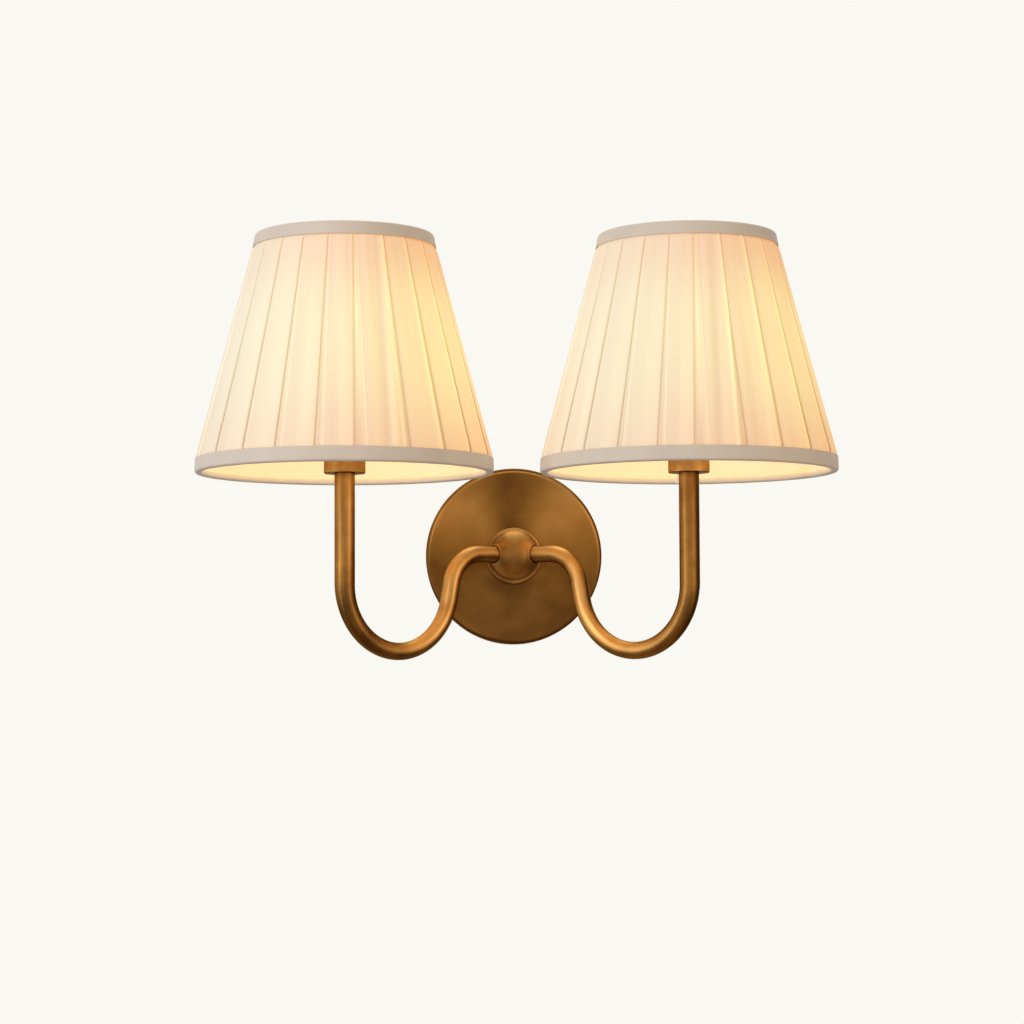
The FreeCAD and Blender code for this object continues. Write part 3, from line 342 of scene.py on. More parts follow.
def cloud_size(per_metre, offset=(0.0, 0.0, 0.0)):
    """Coordinates in which noise makes about so many clouds in a metre."""
    def make(tree, place):
        return vector_node(tree, "ADD", scaled(tree, place, (per_metre,) * 3), offset)
    return make


def ring_lines(axis, per_metre, centre=(0.0, 0.0, 0.0)):
    """Coordinates for tool marks round the Y or Z axis: they vary with the radius and along the axis only."""
    def make(tree, place):
        x, y, z = axes_of(tree, vector_node(tree, "SUBTRACT", place, centre))
        radius, along = (diagonal(tree, x, z), y) if axis == "Y" else (diagonal(tree, x, y), z)
        flat = add_node(tree, "CombineXYZ", {0: radius, 1: along, 2: 0.0}).outputs[0]
        return scaled(tree, flat, (per_metre,) * 3)
    return make


def drawn_lines(turn, per_metre):
    """Coordinates for marks along a bent tube: they vary most across the plane that it is bent in."""
    def make(tree, place):
        turned = {"Vector": place, "Angle": turn}
        flat = add_node(tree, "VectorRotate", turned, rotation_type="Z_AXIS").outputs[0]
        return scaled(tree, flat, (4.0, per_metre, 4.0))
    return make


def plate_rubbing_and_light(tree, place):
    """Painted light on the face: painted reflections beside the hub and higher up, a painted shadow under
    the hub, painted shade on the outer rim and a painted highlight on the rolled edge, brightest at the top.
    """
    x, _, z = axes_of(tree, place)
    radius = diagonal(tree, x, z)
    side = math_node(tree, "DIVIDE", math_node(tree, "ABSOLUTE", x), math_node(tree, "ADD", radius, 0.004))
    beside = ramp(tree, side, low=0.05, high=0.70)
    upper = ramp(tree, z, low=-0.045, high=0.040)
    high = ramp(tree, z, low=-0.020, high=0.045)
    hub_shadow = times(tree, ramp(tree, z, low=-0.010, high=-0.020), ramp(tree, radius, low=0.034, high=0.021))
    rim = ramp(tree, radius, low=PLATE_RIM_SHADE_R, high=PLATE_RIM_SHADE_R + PLATE_RIM_SHADE_W)
    face = add_share(tree, 0.315, beside, add_share(tree, 0.04, high, 0.33))
    face = add_share(tree, face, upper, 0.07)
    face = add_share(tree, face, hub_shadow, -0.12)
    face = add_share(tree, face, rim, -0.22)
    edge = bell(tree, radius, EDGE_HIGHLIGHT_R, EDGE_HIGHLIGHT_W)
    return add_share(tree, face, edge, add_share(tree, 0.03, high, 0.55))


def hub_rubbing_and_light(tree, place):
    """Painted light on the dome: a painted highlight on top and to the right, and a painted reflection low
    down.
    The rims of the two sockets for the arms are brighter too.
    """
    x, y, z = axes_of(tree, place)
    out = times(tree, math_node(tree, "SUBTRACT", y, SOCKET_Y), math.cos(ARM_TURN))
    aside = add_share(tree, out, math_node(tree, "ABSOLUTE", x), math.sin(ARM_TURN))
    rims = bell(tree, diagonal(tree, aside, z), SOCKET_RIM_R, SOCKET_RIM_W)
    top = ramp(tree, add_share(tree, z, x, 0.7), low=-0.004, high=0.018)
    foot_reflection = ramp(tree, z, low=-0.004, high=-0.016)
    face = add_share(tree, add_share(tree, 0.46, foot_reflection, 0.14), top, 0.27)
    return add_share(tree, face, rims, 0.34)


def tube_rubbing_and_light(sign):
    """Painted light on the arms: painted highlights on the bend's upper side near the hub and higher up
    towards the cup, painted shade underneath, and on the right arm painted shade on its outer side.
    """
    def make(tree, place):
        x, _, z = axes_of(tree, place)
        facing = facing_axes(tree)
        lit_near_hub = ramp(tree, math_node(tree, "ABSOLUTE", x), low=0.106, high=0.070)
        lit_near_cup = ramp(tree, z, low=-0.020, high=0.045)
        upper = ramp(tree, facing[2], low=-0.55, high=0.15)
        # The right arm is painted a little brighter all over. Then come painted highlights near the cup and
        # on the bend's upper side near the hub, and painted shade underneath and on the right arm's outer
        # side.
        rubbed = add_share(tree, 0.49 if sign > 0 else 0.44, lit_near_cup, 0.09)
        rubbed = add_share(tree, rubbed, times(tree, lit_near_hub, upper), 0.29)
        rubbed = add_share(tree, rubbed, math_node(tree, "SUBTRACT", 1.0, upper), -0.08)
        if sign < 0:
            return rubbed
        return add_share(tree, rubbed, ramp(tree, facing[0], low=0.0, high=0.80), -0.42)
    return make


def cup_rubbing_and_shade(tree, place):
    """The cup's underside gets painted shade, so it stays dark."""
    return add_share(tree, 0.655, ramp(tree, facing_axes(tree)[2], low=-0.5, high=-0.9), -0.58)


def dress(material, *nodes):
    """Gives CAD nodes a material."""
    for name in nodes:
        for material_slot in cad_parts[name].material_slots:
            material_slot.material = material


plate_brass = metal_material(
    "plate_brass", cloud_size(17.0, (3.1, 0.0, 7.4)), ring_lines("Y", 900.0),
    {"Rubbed And Lit": plate_rubbing_and_light, "Line Strength": 0.14, "Smooth": 0.34, "Rough": 0.46},
)
hub_brass = metal_material(
    "hub_brass", cloud_size(45.0, (0.4, 2.2, 0.0)), ring_lines("Y", 1100.0),
    {"Rubbed And Lit": hub_rubbing_and_light, "Line Strength": 0.12, "Smooth": 0.34, "Rough": 0.46},
    {**LACQUER, "Coat Roughness": 0.25},
)
dress(plate_brass, "backplate")
dress(hub_brass, "hub")
for side, sign in SIDES:
    tube_brass = metal_material(
        side + "_tube_brass", cloud_size(30.0, (sign, 0.0, 1.7)), drawn_lines(sign * ARM_TURN, 300.0),
        {"Rubbed And Lit": tube_rubbing_and_light(sign), "Line Strength": 0.50, "Smooth": 0.34, "Rough": 0.44},
        {**LACQUER, "Coat Roughness": 0.20},
    )
    cup_middle = (sign * CUP_X, CUP_Y, 0.0)
    cup_brass = metal_material(
        side + "_cup_brass", cloud_size(60.0, (sign, 0.0, 0.0)), ring_lines("Z", 1300.0, cup_middle),
        {
            "Middle": CUP_MIDDLE, "Bright": CUP_BRIGHT,
            "Rubbed And Lit": cup_rubbing_and_shade, "Line Strength": 0.15, "Smooth": 0.34, "Rough": 0.46,
        },
    )
    dress(tube_brass, side + "_arm")
    dress(cup_brass, side + "_holder_cup")

# Bright hardware behind the plate and inside the holders: machined brass, zinc plated steel, and nickel
# plated caps. Nobody sees it from the room, but it shows at the open back and down the shades.
raw_brass = metal_material(
    "raw_brass", cloud_size(120.0), cloud_size(1500.0),
    {
        "Dark": (0.42, 0.26, 0.09, 1), "Middle": (0.60, 0.41, 0.16, 1), "Bright": (0.72, 0.54, 0.27, 1),
        "Rubbed And Lit": 0.55, "Line Strength": 0.3, "Smooth": 0.2, "Rough": 0.34,
    },
)
zinc_steel = metal_material(
    "zinc_steel", cloud_size(70.0), cloud_size(700.0),
    {
        "Dark": (0.40, 0.41, 0.43, 1), "Middle": (0.56, 0.57, 0.58, 1), "Bright": (0.68, 0.68, 0.66, 1),
        "Rubbed And Lit": 0.5, "Line Strength": 0.3, "Smooth": 0.24, "Rough": 0.42,
    },
)
plated_cap = metal_material(
    "plated_cap", cloud_size(150.0), cloud_size(1200.0),
    {
        "Dark": (0.52, 0.50, 0.47, 1), "Middle": (0.66, 0.64, 0.61, 1), "Bright": (0.74, 0.73, 0.71, 1),
        "Rubbed And Lit": 0.55, "Line Strength": 0.2, "Smooth": 0.14, "Rough": 0.26,
    },
)
dress(zinc_steel, "wall_bracket", "hub_washer", "earth_washer")
dress(zinc_steel, "plate_screws", "arm_screws", "terminal_screws")
dress(raw_brass, "hub_nipple", "hub_nut", "terminal_barrels", "earth_screw")
for side, _ in SIDES:
    dress(raw_brass, side + "_arm_bush", side + "_screw_shell", side + "_centre_contact")
    dress(plated_cap, side + "_bulb_cap")

# Moulded plastic and rubber of the terminal block, leads, lampholders and bulb contacts, and white enamel on
# the shades' wires. All have a faint pebbled skin with a little dust in it, and the fitters have a painted
# glow, as if lit by the lamps.
ENAMEL = (0.80, 0.78, 0.72, 1)
DUSTY_ENAMEL = (0.70, 0.66, 0.58, 1)
FITTER_GLOW = (0.70, 0.50, 0.28, 1)
FITTER_GLOW_STRENGTH = 0.5


def moulded_material(name, color, dusty, grain, depth, roughness, extra=None):
    """Colour with dusty clouds, and a skin with so many grains in a metre."""
    material, tree = new_material(name)
    place = own_place(tree)
    dust = noise_map(tree, place, scale=60.0, detail=4.0)
    skin = noise_map(tree, place, scale=grain, detail=2.0)
    shader = {
        "Base Color": mixed(tree, ramp(tree, dust, 0.4, 0.75), color, dusty),
        "Roughness": ramp(tree, dust, 0.3, 0.7, roughness, roughness + 0.15, kind="LINEAR"),
        "Normal": bump(tree, 0.6, depth, skin),
    }
    shader.update(extra or {})
    finish_material(tree, shader)
    return material


holder_plastic = moulded_material(
    "holder_plastic", (0.74, 0.70, 0.60, 1), (0.66, 0.61, 0.50, 1),
    grain=2200.0, depth=0.00003, roughness=0.38,
)
terminal_plastic = moulded_material(
    "terminal_plastic", (0.78, 0.77, 0.72, 1), (0.70, 0.69, 0.63, 1),
    grain=1800.0, depth=0.00003, roughness=0.42, extra={"Subsurface Weight": 0.2},
)
contact_plastic = moulded_material(
    "contact_plastic", (0.82, 0.80, 0.75, 1), (0.74, 0.71, 0.64, 1),
    grain=2600.0, depth=0.00002, roughness=0.5,
)
lead_sheath = moulded_material(
    "lead_sheath", (0.70, 0.68, 0.60, 1), (0.60, 0.57, 0.49, 1),
    grain=1500.0, depth=0.00002, roughness=0.3,
)
cap_insulator = moulded_material(
    "cap_insulator", (0.018, 0.018, 0.020, 1), (0.05, 0.048, 0.045, 1),
    grain=1500.0, depth=0.00002, roughness=0.2,
)
white_wire = moulded_material("white_wire", ENAMEL, DUSTY_ENAMEL, grain=900.0, depth=0.00005, roughness=0.35)
# The fitters' enamel has a painted glow, as if lit by the lamps.
fitter_enamel = moulded_material(
    "fitter_enamel", ENAMEL, DUSTY_ENAMEL, grain=900.0, depth=0.00005, roughness=0.35,
    extra={"Emission Color": FITTER_GLOW, "Emission Strength": FITTER_GLOW_STRENGTH},
)
dress(terminal_plastic, "terminal_block")
for side, _ in SIDES:
    dress(holder_plastic, side + "_holder_base", side + "_holder_skirt", side + "_shade_ring")
    dress(contact_plastic, side + "_contact_block")
    dress(lead_sheath, side + "_lead")
    dress(cap_insulator, side + "_bulb_contact")
    dress(white_wire, side + "_shade_bottom_wire", side + "_shade_top_wire")
    dress(fitter_enamel, side + "_shade_fitter")

# Candle bulbs: frosted glass over a clear stem with four glowing rods. A small warm lamp in each shade lights
# the holder and the fitter, and lining and cloth carry the rest of the bulb's light as a glow of their own.
BULB_Z = 0.132
BULB_R = 0.022
BULB_COLOR = (1.0, 0.69, 0.36)
BULB_WATTS = 0.06
GLASS_GLOW_STRENGTH = 0.22
ROD_GLOW_STRENGTH = 1.6

glass, tree = new_material("bulb_glass")
frost = noise_map(tree, own_place(tree), scale=90.0, detail=3.0)
finish_material(
    tree,
    {
        "Base Color": mixed(tree, frost, (0.98, 0.95, 0.88, 1), (1.0, 0.98, 0.93, 1)),
        "Roughness": ramp(tree, frost, 0.0, 1.0, 0.28, 0.42, kind="LINEAR"),
        "Transmission Weight": 0.85, "IOR": 1.45,
        "Emission Color": mixed(tree, frost, (1.0, 0.72, 0.38, 1), (1.0, 0.80, 0.48, 1)),
        "Emission Strength": GLASS_GLOW_STRENGTH,
    },
)
stem_glass, tree = new_material("stem_glass")
reams = noise_map(tree, scaled(tree, own_place(tree), (300.0, 300.0, 40.0)), scale=1.0, detail=2.0)
clear = mixed(tree, reams, (0.93, 0.95, 0.94, 1), (0.98, 0.99, 0.98, 1))
finish_material(tree, {"Base Color": clear, "Roughness": 0.04, "Transmission Weight": 1.0, "IOR": 1.5})
filament, tree = new_material("filament")
grain = noise_map(tree, own_place(tree), scale=900.0, detail=2.0)
coat = mixed(tree, grain, (1.0, 0.62, 0.20, 1), (1.0, 0.80, 0.42, 1))
finish_material(
    tree,
    {"Base Color": coat, "Roughness": 0.6, "Emission Color": coat, "Emission Strength": ROD_GLOW_STRENGTH},
)
for side, sign in SIDES:
    dress(glass, side + "_bulb_glass")
    dress(stem_glass, side + "_bulb_stem")
    dress(filament, side + "_bulb_filaments")
    bpy.ops.object.light_add(type="POINT", location=(sign * CUP_X, CUP_Y, BULB_Z))
    bulb_lamp = bpy.context.object
    bulb_lamp.name = side + "_bulb_light"
    bulb_lamp.data.energy = BULB_WATTS
    bulb_lamp.data.color = BULB_COLOR
    bulb_lamp.data.shadow_soft_size = BULB_R
    bulb_lamp.visible_camera = False
    bulb_lamp.visible_glossy = False

# Shade lining: smooth cream plastic-backed cloth, rolled into a cone. It is bright all over, and its own glow
# is a little less level with the bulb, where the small lamp's light falls on it.
SHADE_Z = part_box("right_shade_bottom_tape")[0].z
SHADE_TOP_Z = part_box("right_shade_top_tape")[1].z
SHADE_H = SHADE_TOP_Z - SHADE_Z
RIM_R = 0.1015
TOP_RIM_R = 0.060
SHADE_SLOPE = (RIM_R - TOP_RIM_R) / SHADE_H
LINING_CREAM = (0.62, 0.56, 0.40, 1)
LINING_PALE = (0.70, 0.64, 0.48, 1)
LINING_GLOW = (0.76, 0.50, 0.265, 1)
LINING_GLOW_BY_BULB = (0.62, 0.40, 0.21, 1)
LINING_GLOW_STRENGTH = 0.9
# The bulb's glow is strongest at GLOW_Z, and fades within these heights over and under it.
GLOW_Z = 0.138
GLOW_OVER = 0.056
GLOW_UNDER = 0.080
# Where the glow is strongest round the shade, in degrees from the room side towards +X.
LOBES_DEG = {"Left Lobe": -30, "Right Lobe": 40}
LOBE_SHARPNESS = 14.0

lamp_glow, given, result = new_group(
    "lamp_glow",
    [("Place", "Vector", None), ("Bulb", "Vector", (0.0, 0.0, 0.0))]
    + [(name, "Vector", (0.0, 0.0, 0.0)) for name in LOBES_DEG],
    [("Level", "Float"), ("Lobes", "Float"), ("Round", "Float")],
)
away = vector_node(lamp_glow, "SUBTRACT", given["Place"], given["Bulb"])
height = axes_of(lamp_glow, away)[2]
over = math_node(lamp_glow, "DIVIDE", math_node(lamp_glow, "MAXIMUM", height, 0.0), GLOW_OVER)
under = math_node(lamp_glow, "DIVIDE", math_node(lamp_glow, "MINIMUM", height, 0.0), GLOW_UNDER)
level = bell(lamp_glow, math_node(lamp_glow, "ADD", over, under), 0.0, 1.0)
facing = vector_node(lamp_glow, "NORMALIZE", scaled(lamp_glow, away, (1.0, 1.0, 0.0)))
lobes = []
for name in LOBES_DEG:
    pair = {0: facing, 1: given[name]}
    toward = add_node(lamp_glow, "VectorMath", pair, operation="DOT_PRODUCT").outputs["Value"]
    lobes.append(math_node(lamp_glow, "POWER", math_node(lamp_glow, "ABSOLUTE", toward), LOBE_SHARPNESS))
together = math_node(lamp_glow, "ADD", lobes[0], lobes[1], clamp=True)
fill_inputs(lamp_glow, result, {"Level": level, "Lobes": together, "Round": axes_of(lamp_glow, facing)[0]})


def lobe(angle_deg):
    """Unit vector that many degrees round from the room side towards +X."""
    return (math.sin(math.radians(angle_deg)), -math.cos(math.radians(angle_deg)), 0.0)


def glow_at(tree, place, sign):
    """How one side's lamp shows through at a place: Level with it, in its Lobes, and Round to the right."""
    inputs = {name: lobe(angle_deg) for name, angle_deg in LOBES_DEG.items()}
    inputs.update({"Place": place, "Bulb": (sign * CUP_X, CUP_Y, GLOW_Z)})
    return use_group(tree, lamp_glow, inputs)


for side, sign in SIDES:
    lining, tree = new_material(side + "_shade_lining")
    place = own_place(tree)
    fibres = noise_map(tree, scaled(tree, place, (600.0, 600.0, 90.0)), scale=1.0, detail=3.0)
    by_bulb = add_share(tree, times(tree, fibres, 0.12), glow_at(tree, place, sign)["Level"], 0.45)
    finish_material(
        tree,
        {
            "Base Color": mixed(tree, fibres, LINING_CREAM, LINING_PALE), "Roughness": 0.7,
            "Emission Color": mixed(tree, by_bulb, LINING_GLOW, LINING_GLOW_BY_BULB),
            "Emission Strength": LINING_GLOW_STRENGTH,
        },
    )
    dress(lining, side + "_shade_lining")

# Pleated cover: one strip of fine ivory cloth laid in 22 box pleats and stretched over the lining. The strip
# is as wide at the top as at the bottom, so each pleat tucks under further as the cone narrows. The folds
# stand where the photograph shows them in front, and are even behind.
PLEATS = 22
PLEAT_CLOTH = 0.041
CLOTH_T = 0.0003
CLOTH_INSET = 0.0008
FOLDS_SEEN_DEG = {
    "left": (-55.1, -38.6, -23.3, -7.6, 8.0, 26.5, 42.6, 58.1),
    "right": (-62.0, -47.7, -31.2, -15.4, -0.3, 15.8, 32.2, 48.0),
}
MIDDLE_GAP = 4
GAP_BOTTOM = {
    "left": (0.0024, 0.0030, 0.0050, 0.0056, 0.0086, 0.0036, 0.0028, 0.0024),
    "right": (0.0022, 0.0026, 0.0051, 0.0050, 0.0095, 0.0058, 0.0026, 0.0024),
}
GAP_TOP = (0.0008, 0.0008, 0.0009, 0.0009, 0.0018, 0.0010, 0.0012, 0.0008)
GAP_BEHIND = (0.0035, 0.0009)
NARROW_FROM = {("right", 5): 0.6}
# The cloth's radius at the bottom rim, and how far it stands off the lining low down and high up.
COVER_SEAT = RIM_R - 0.00235
PUFF_LOW = 0.00175
PUFF_HIGH = 0.00060
# How far in from each rim the cloth starts to stand off, and how far in it is free.
HELD_LOW = 0.0047
FREE_LOW = 0.0115
HELD_HIGH = 0.0067
FREE_HIGH = 0.0117
# The middles of a fold's three layers over that radius, and the share of them left where a binding presses.
LEVEL_INNER = 0.00020
LEVEL_TUCK = 0.00078
LEVEL_OUTER = 0.00142
PRESSED = 0.40
# A fold's bend, the strip of pleat beside it, and the strip of the gap's floor beside it.
TURN_R = 0.00030
FOLD_W = 0.0010
FLOOR_W = 0.0007
# A tuck is at least this deep, and ends at least this far from the middle of its pleat.
TUCK_LEAST = 0.0008
TUCK_APART = 0.002
# Past its tucks a pleat's single cloth sinks towards the lining by this share, within this distance.
SINK_SHARE = 0.55
SINK_RUN = 0.005
LAND_STEPS = 20
FREE_ROWS = 26
HELD_ROWS = (0.0, 0.0045, 0.0062, 0.0078, 0.0092, 0.0102, 0.0115, 0.0150, 0.0190)


def row_heights():
    """Heights of the cloth's rows over the bottom rim: close near the bindings, even between."""
    first, last = HELD_ROWS[-1], SHADE_H - HELD_ROWS[-1]
    free = [first + (last - first) * (k + 1) / FREE_ROWS for k in range(FREE_ROWS - 1)]
    return list(HELD_ROWS) + free + [SHADE_H - h for h in reversed(HELD_ROWS)]


def ease(value):
    """Smooth step from 0 to 1."""
    value = min(1.0, max(0.0, value))
    return value * value * (3 - 2 * value)


def let_go(h):
    """0 where a binding holds the cloth down and 1 where it is free."""
    low = ease((h - HELD_LOW) / (FREE_LOW - HELD_LOW))
    return low * ease((SHADE_H - HELD_HIGH - h) / (FREE_HIGH - HELD_HIGH))


def cone_r(h):
    """Radius that the cover's layers lie on at a height over the bottom rim."""
    share = h / SHADE_H
    return COVER_SEAT - h * SHADE_SLOPE + (PUFF_LOW + (PUFF_HIGH - PUFF_LOW) * share) * let_go(h)


def folds_round(side):
    """Angles of the gaps between pleats, in radians from the room side, once round."""
    seen = FOLDS_SEEN_DEG[side]
    behind = PLEATS - len(seen)
    step = (360 + seen[0] - seen[-1]) / (behind + 1)
    return radians(seen + tuple(seen[-1] + step * (k + 1) for k in range(behind)))


def gap_at(side, k, share):
    """Width of a gap at a share of the shade's height."""
    low, high = (GAP_BOTTOM[side][k], GAP_TOP[k]) if k < len(GAP_TOP) else GAP_BEHIND
    share = min(1.0, share / NARROW_FROM.get((side, k), 1.0))
    return low + (high - low) * share


# Creases of the loosest pleats in front: the place across the pleat at the top and at the bottom, the width
# as a share of the pleat, and how many CREASE_STEPs the crease stands out at the top and at the bottom.
CREASES = {
    ("left", 3): ((0.77, 0.80, 0.07, -0.6, 0.0), (0.45, 0.50, 0.12, 0.3, 0.2)),
    ("left", 4): (
        (0.08, 0.08, 0.06, -0.6, -0.8), (0.33, 0.36, 0.10, 0.4, 0.6), (0.74, 0.56, 0.09, -0.8, -1.3),
        (0.97, 0.74, 0.08, 0.5, 1.0), (0.99, 0.87, 0.045, 0.0, -1.6),
    ),
    ("left", 5): ((0.60, 0.75, 0.10, 0.2, -0.3),),
    ("right", 3): ((0.62, 0.70, 0.10, -0.4, 0.2),),
    ("right", 4): (
        (0.14, 0.13, 0.06, -0.7, -1.0), (0.36, 0.30, 0.08, 0.3, 0.1), (0.67, 0.42, 0.12, -1.0, -0.8),
        (0.98, 0.92, 0.12, 0.5, 0.5),
    ),
    ("right", 5): ((0.50, 0.33, 0.14, 0.0, -0.8), (0.97, 0.73, 0.08, 0.4, 0.8), (1.0, 0.94, 0.05, 0.0, -0.8)),
}
CREASE_STEP = 0.0006
CREASE_DEEPEST = 0.0004
# Creases that stand out get a painted highlight in their tone, and sunk ones painted shade.
CREASE_SHADING = 0.20
WAVE = 0.3


def creased(side, k, across, share):
    """How many CREASE_STEPs the cloth of a pleat stands out. across is 0 to 1 over the pleat."""
    seed = Vector((k * 3.7 + (11.0 if side == "right" else 0.0), across * 3.2, share * 1.3))
    ridge = WAVE * noise.noise(seed)
    for top, bottom, width, high, low in CREASES.get((side, k), ()):
        middle = bottom + (top - bottom) * share
        ridge += (low + (high - low) * share) * math.exp(-(((across - middle) / width) ** 2))
    return ridge


# Tone is how much of the lamp's painted glow comes through: less where three layers lie at a fold, most at
# its free edge. Where it is low it also paints shade into the cloth's own colour. Of each gap's two edges the
# one that looks towards the shade's middle is a painted dark line, and the other a painted bright line.
FOLD_TONE = 0.96
DARK_SHAPE = (0.35, 0.90, 1.00, 1.00, 0.80, 0.45, 0.15)
THIN_SHAPE = (0.20, 0.50, 0.80, 1.00, 1.00, 0.80, -1.20)
THIN_LIFT = 0.11
BROAD_SHAPE = (0.447, 0.707, 0.894, 1.00, 1.00, 0.894, 1.095)
BROAD_LIFT = 0.34
HIDDEN = (0.0, 0.0)


def floor_tone(k, share):
    """Tone of the single cloth between two pleats: darker than they are low down and brighter high up."""
    return min(1.45, 0.55 + 1.50 * share) if k == MIDDLE_GAP else 0.58 + 0.50 * share


def edge_tones(k, share, dark):
    """(tone, line) pairs from the floor of gap k over the fold beside it. A line shades a dark edge."""
    right = k > MIDDLE_GAP
    if dark:
        line = 0.70 - 0.42 * share if right else 0.36 * (1 - share)
        depth = 0.31 - 0.20 * share if right else 0.06 + 0.18 * (1 - share)
        if k == MIDDLE_GAP:
            depth = 0.30 * (1 - share) ** 1.5
        return [(FOLD_TONE - depth * part, line * part) for part in DARK_SHAPE]
    shape, lift = (BROAD_SHAPE, BROAD_LIFT) if right else (THIN_SHAPE, THIN_LIFT)
    return [(FOLD_TONE + lift * part, 0.0) for part in shape]


def land_tone(k, following, across, share):
    """Tone across the flat of a pleat: from its shaded side to its bright edge."""
    begin = 0.80 + 0.13 * share
    tone = begin + (0.98 - begin) * ease(across * 1.3) if k <= MIDDLE_GAP else 0.92 + 0.05 * across
    return tone + BROAD_LIFT * ease((across - 0.88) / 0.12) if following > MIDDLE_GAP else tone


def fold_edge(half, tuck, tones):
    """Points from a gap's middle over a folded edge onto the pleat, as (distance, level, (tone, line))."""
    floor, low, riser, middle, upper, top, after = tones
    mid = (LEVEL_INNER + LEVEL_TUCK) / 2
    over = (LEVEL_TUCK + LEVEL_OUTER) / 2
    return [
        (max(half - FLOOR_W, half * 0.35), LEVEL_INNER, floor),
        (half, LEVEL_INNER, low),
        (half + tuck * 0.5, LEVEL_INNER, HIDDEN),
        (half + tuck, LEVEL_INNER, HIDDEN),
        (half + tuck + TURN_R, mid, HIDDEN),
        (half + tuck, LEVEL_TUCK, HIDDEN),
        (half + tuck * 0.5, LEVEL_TUCK, HIDDEN),
        (half + TURN_R, LEVEL_TUCK, low),
        (half + TURN_R * 0.3, LEVEL_TUCK + (over - LEVEL_TUCK) * 0.3, riser),
        (half, over, middle),
        (half + TURN_R * 0.3, LEVEL_OUTER - (LEVEL_OUTER - over) * 0.3, upper),
        (half + TURN_R * 1.2, LEVEL_OUTER, top),
        (half + FOLD_W, LEVEL_OUTER, after),
    ]


def pleat_path(side, k, share, width, tuck):
    """One pleat from gap middle to gap middle, as (anchor, offset, level, tones). Anchor 1 is its far end."""
    following = (k + 1) % PLEATS
    half, far = gap_at(side, k, share) / 2, gap_at(side, following, share) / 2
    start = fold_edge(half, tuck, edge_tones(k, share, dark=k > MIDDLE_GAP))
    end = fold_edge(far, tuck, edge_tones(following, share, dark=following <= MIDDLE_GAP))
    path = [(0, 0.0, LEVEL_INNER, (floor_tone(k, share), 0.0))] + [(0,) + point for point in start]
    first, last = half + FOLD_W, width - far - FOLD_W
    for step in range(1, LAND_STEPS):
        across = step / LAND_STEPS
        offset = first + (last - first) * across
        past_tuck = min(offset - first, last - offset) - tuck
        sunk = SINK_SHARE * min(1.0, max(0.0, past_tuck) / SINK_RUN)
        level = LEVEL_OUTER - (LEVEL_OUTER - LEVEL_INNER - CLOTH_T) * sunk
        path.append((0, offset, level, (land_tone(k, following, across, share), 0.0)))
    return path + [(1, -distance, level, tones) for distance, level, tones in reversed(end)]


def pleated_cover(side, sign):
    """Grid of cloth points, columns round the shade and rows up it, with the strip's own UV map."""
    angles = folds_round(side)
    cloth = bmesh.new()
    uv = cloth.loops.layers.uv.new("strip")
    tone_layer = cloth.verts.layers.float.new("tone")
    line_layer = cloth.verts.layers.float.new("line")
    grid = []
    rows = row_heights()
    for h in rows:
        share = h / SHADE_H
        radius = cone_r(h)
        free = let_go(h)
        loft = PRESSED + (1 - PRESSED) * free
        z = SHADE_Z + CLOTH_INSET + h * (SHADE_H - 2 * CLOTH_INSET) / SHADE_H
        line = []
        for k in range(PLEATS):
            begin = angles[k]
            finish = angles[(k + 1) % PLEATS] + (2 * math.pi if k == PLEATS - 1 else 0)
            width = (finish - begin) * radius
            tuck = min(max(TUCK_LEAST, (PLEAT_CLOTH - width) / 4), width / 2 - TUCK_APART)
            for anchor, offset, level, (tone, shaded) in pleat_path(side, k, share, width, tuck):
                angle = (finish if anchor else begin) + offset / radius
                across = (angle - begin) / (finish - begin)
                crease = creased(side, k, across, share) * free if level > LEVEL_TUCK else 0.0
                r = radius + level * loft + max(crease * CREASE_STEP, -CREASE_DEEPEST)
                vert = cloth.verts.new((sign * CUP_X + r * math.sin(angle), CUP_Y - r * math.cos(angle), z))
                # Painted light and shade on the creases.
                vert[tone_layer] = tone + crease * CREASE_SHADING
                vert[line_layer] = shaded
                line.append(vert)
        grid.append(line)
    count = len(grid[0])
    run = [0.0]
    for column in range(count):
        run.append(run[-1] + (grid[0][(column + 1) % count].co - grid[0][column].co).length)
    for row in range(len(rows) - 1):
        for column in range(count):
            after = (column + 1) % count
            below, above = grid[row], grid[row + 1]
            face = cloth.faces.new((below[column], below[after], above[after], above[column]))
            spots = ((column, row), (column + 1, row), (column + 1, row + 1), (column, row + 1))
            for loop, (c, r) in zip(face.loops, spots):
                loop[uv].uv = (run[c], rows[r])
    mesh = bpy.data.meshes.new(side + "_pleats")
    cloth.to_mesh(mesh)
    cloth.free()
    piece = bpy.data.objects.new(side + "_pleats", mesh)
    bpy.context.scene.collection.objects.link(piece)
    return piece


def only(piece):
    """Selects one object alone and makes it active."""
    bpy.ops.object.select_all(action="DESELECT")
    piece.select_set(True)
    bpy.context.view_layer.objects.active = piece


def thicken(piece, thickness):
    """Gives a sheet its thickness, half to each side."""
    only(piece)
    wall = piece.modifiers.new("cloth", "SOLIDIFY")
    wall.thickness = thickness
    wall.offset = 0.0
    bpy.ops.object.modifier_apply(modifier=wall.name)


# The cloth's finish: a fine plain weave with thicker threads here and there, and the lamp's painted glow
# through it, which turns from cream on the left of each shade, where it also stands for the key light falling
# there, to amber on the right.
WARP_PER_METRE = 2200.0
WEFT_PER_METRE = 2000.0
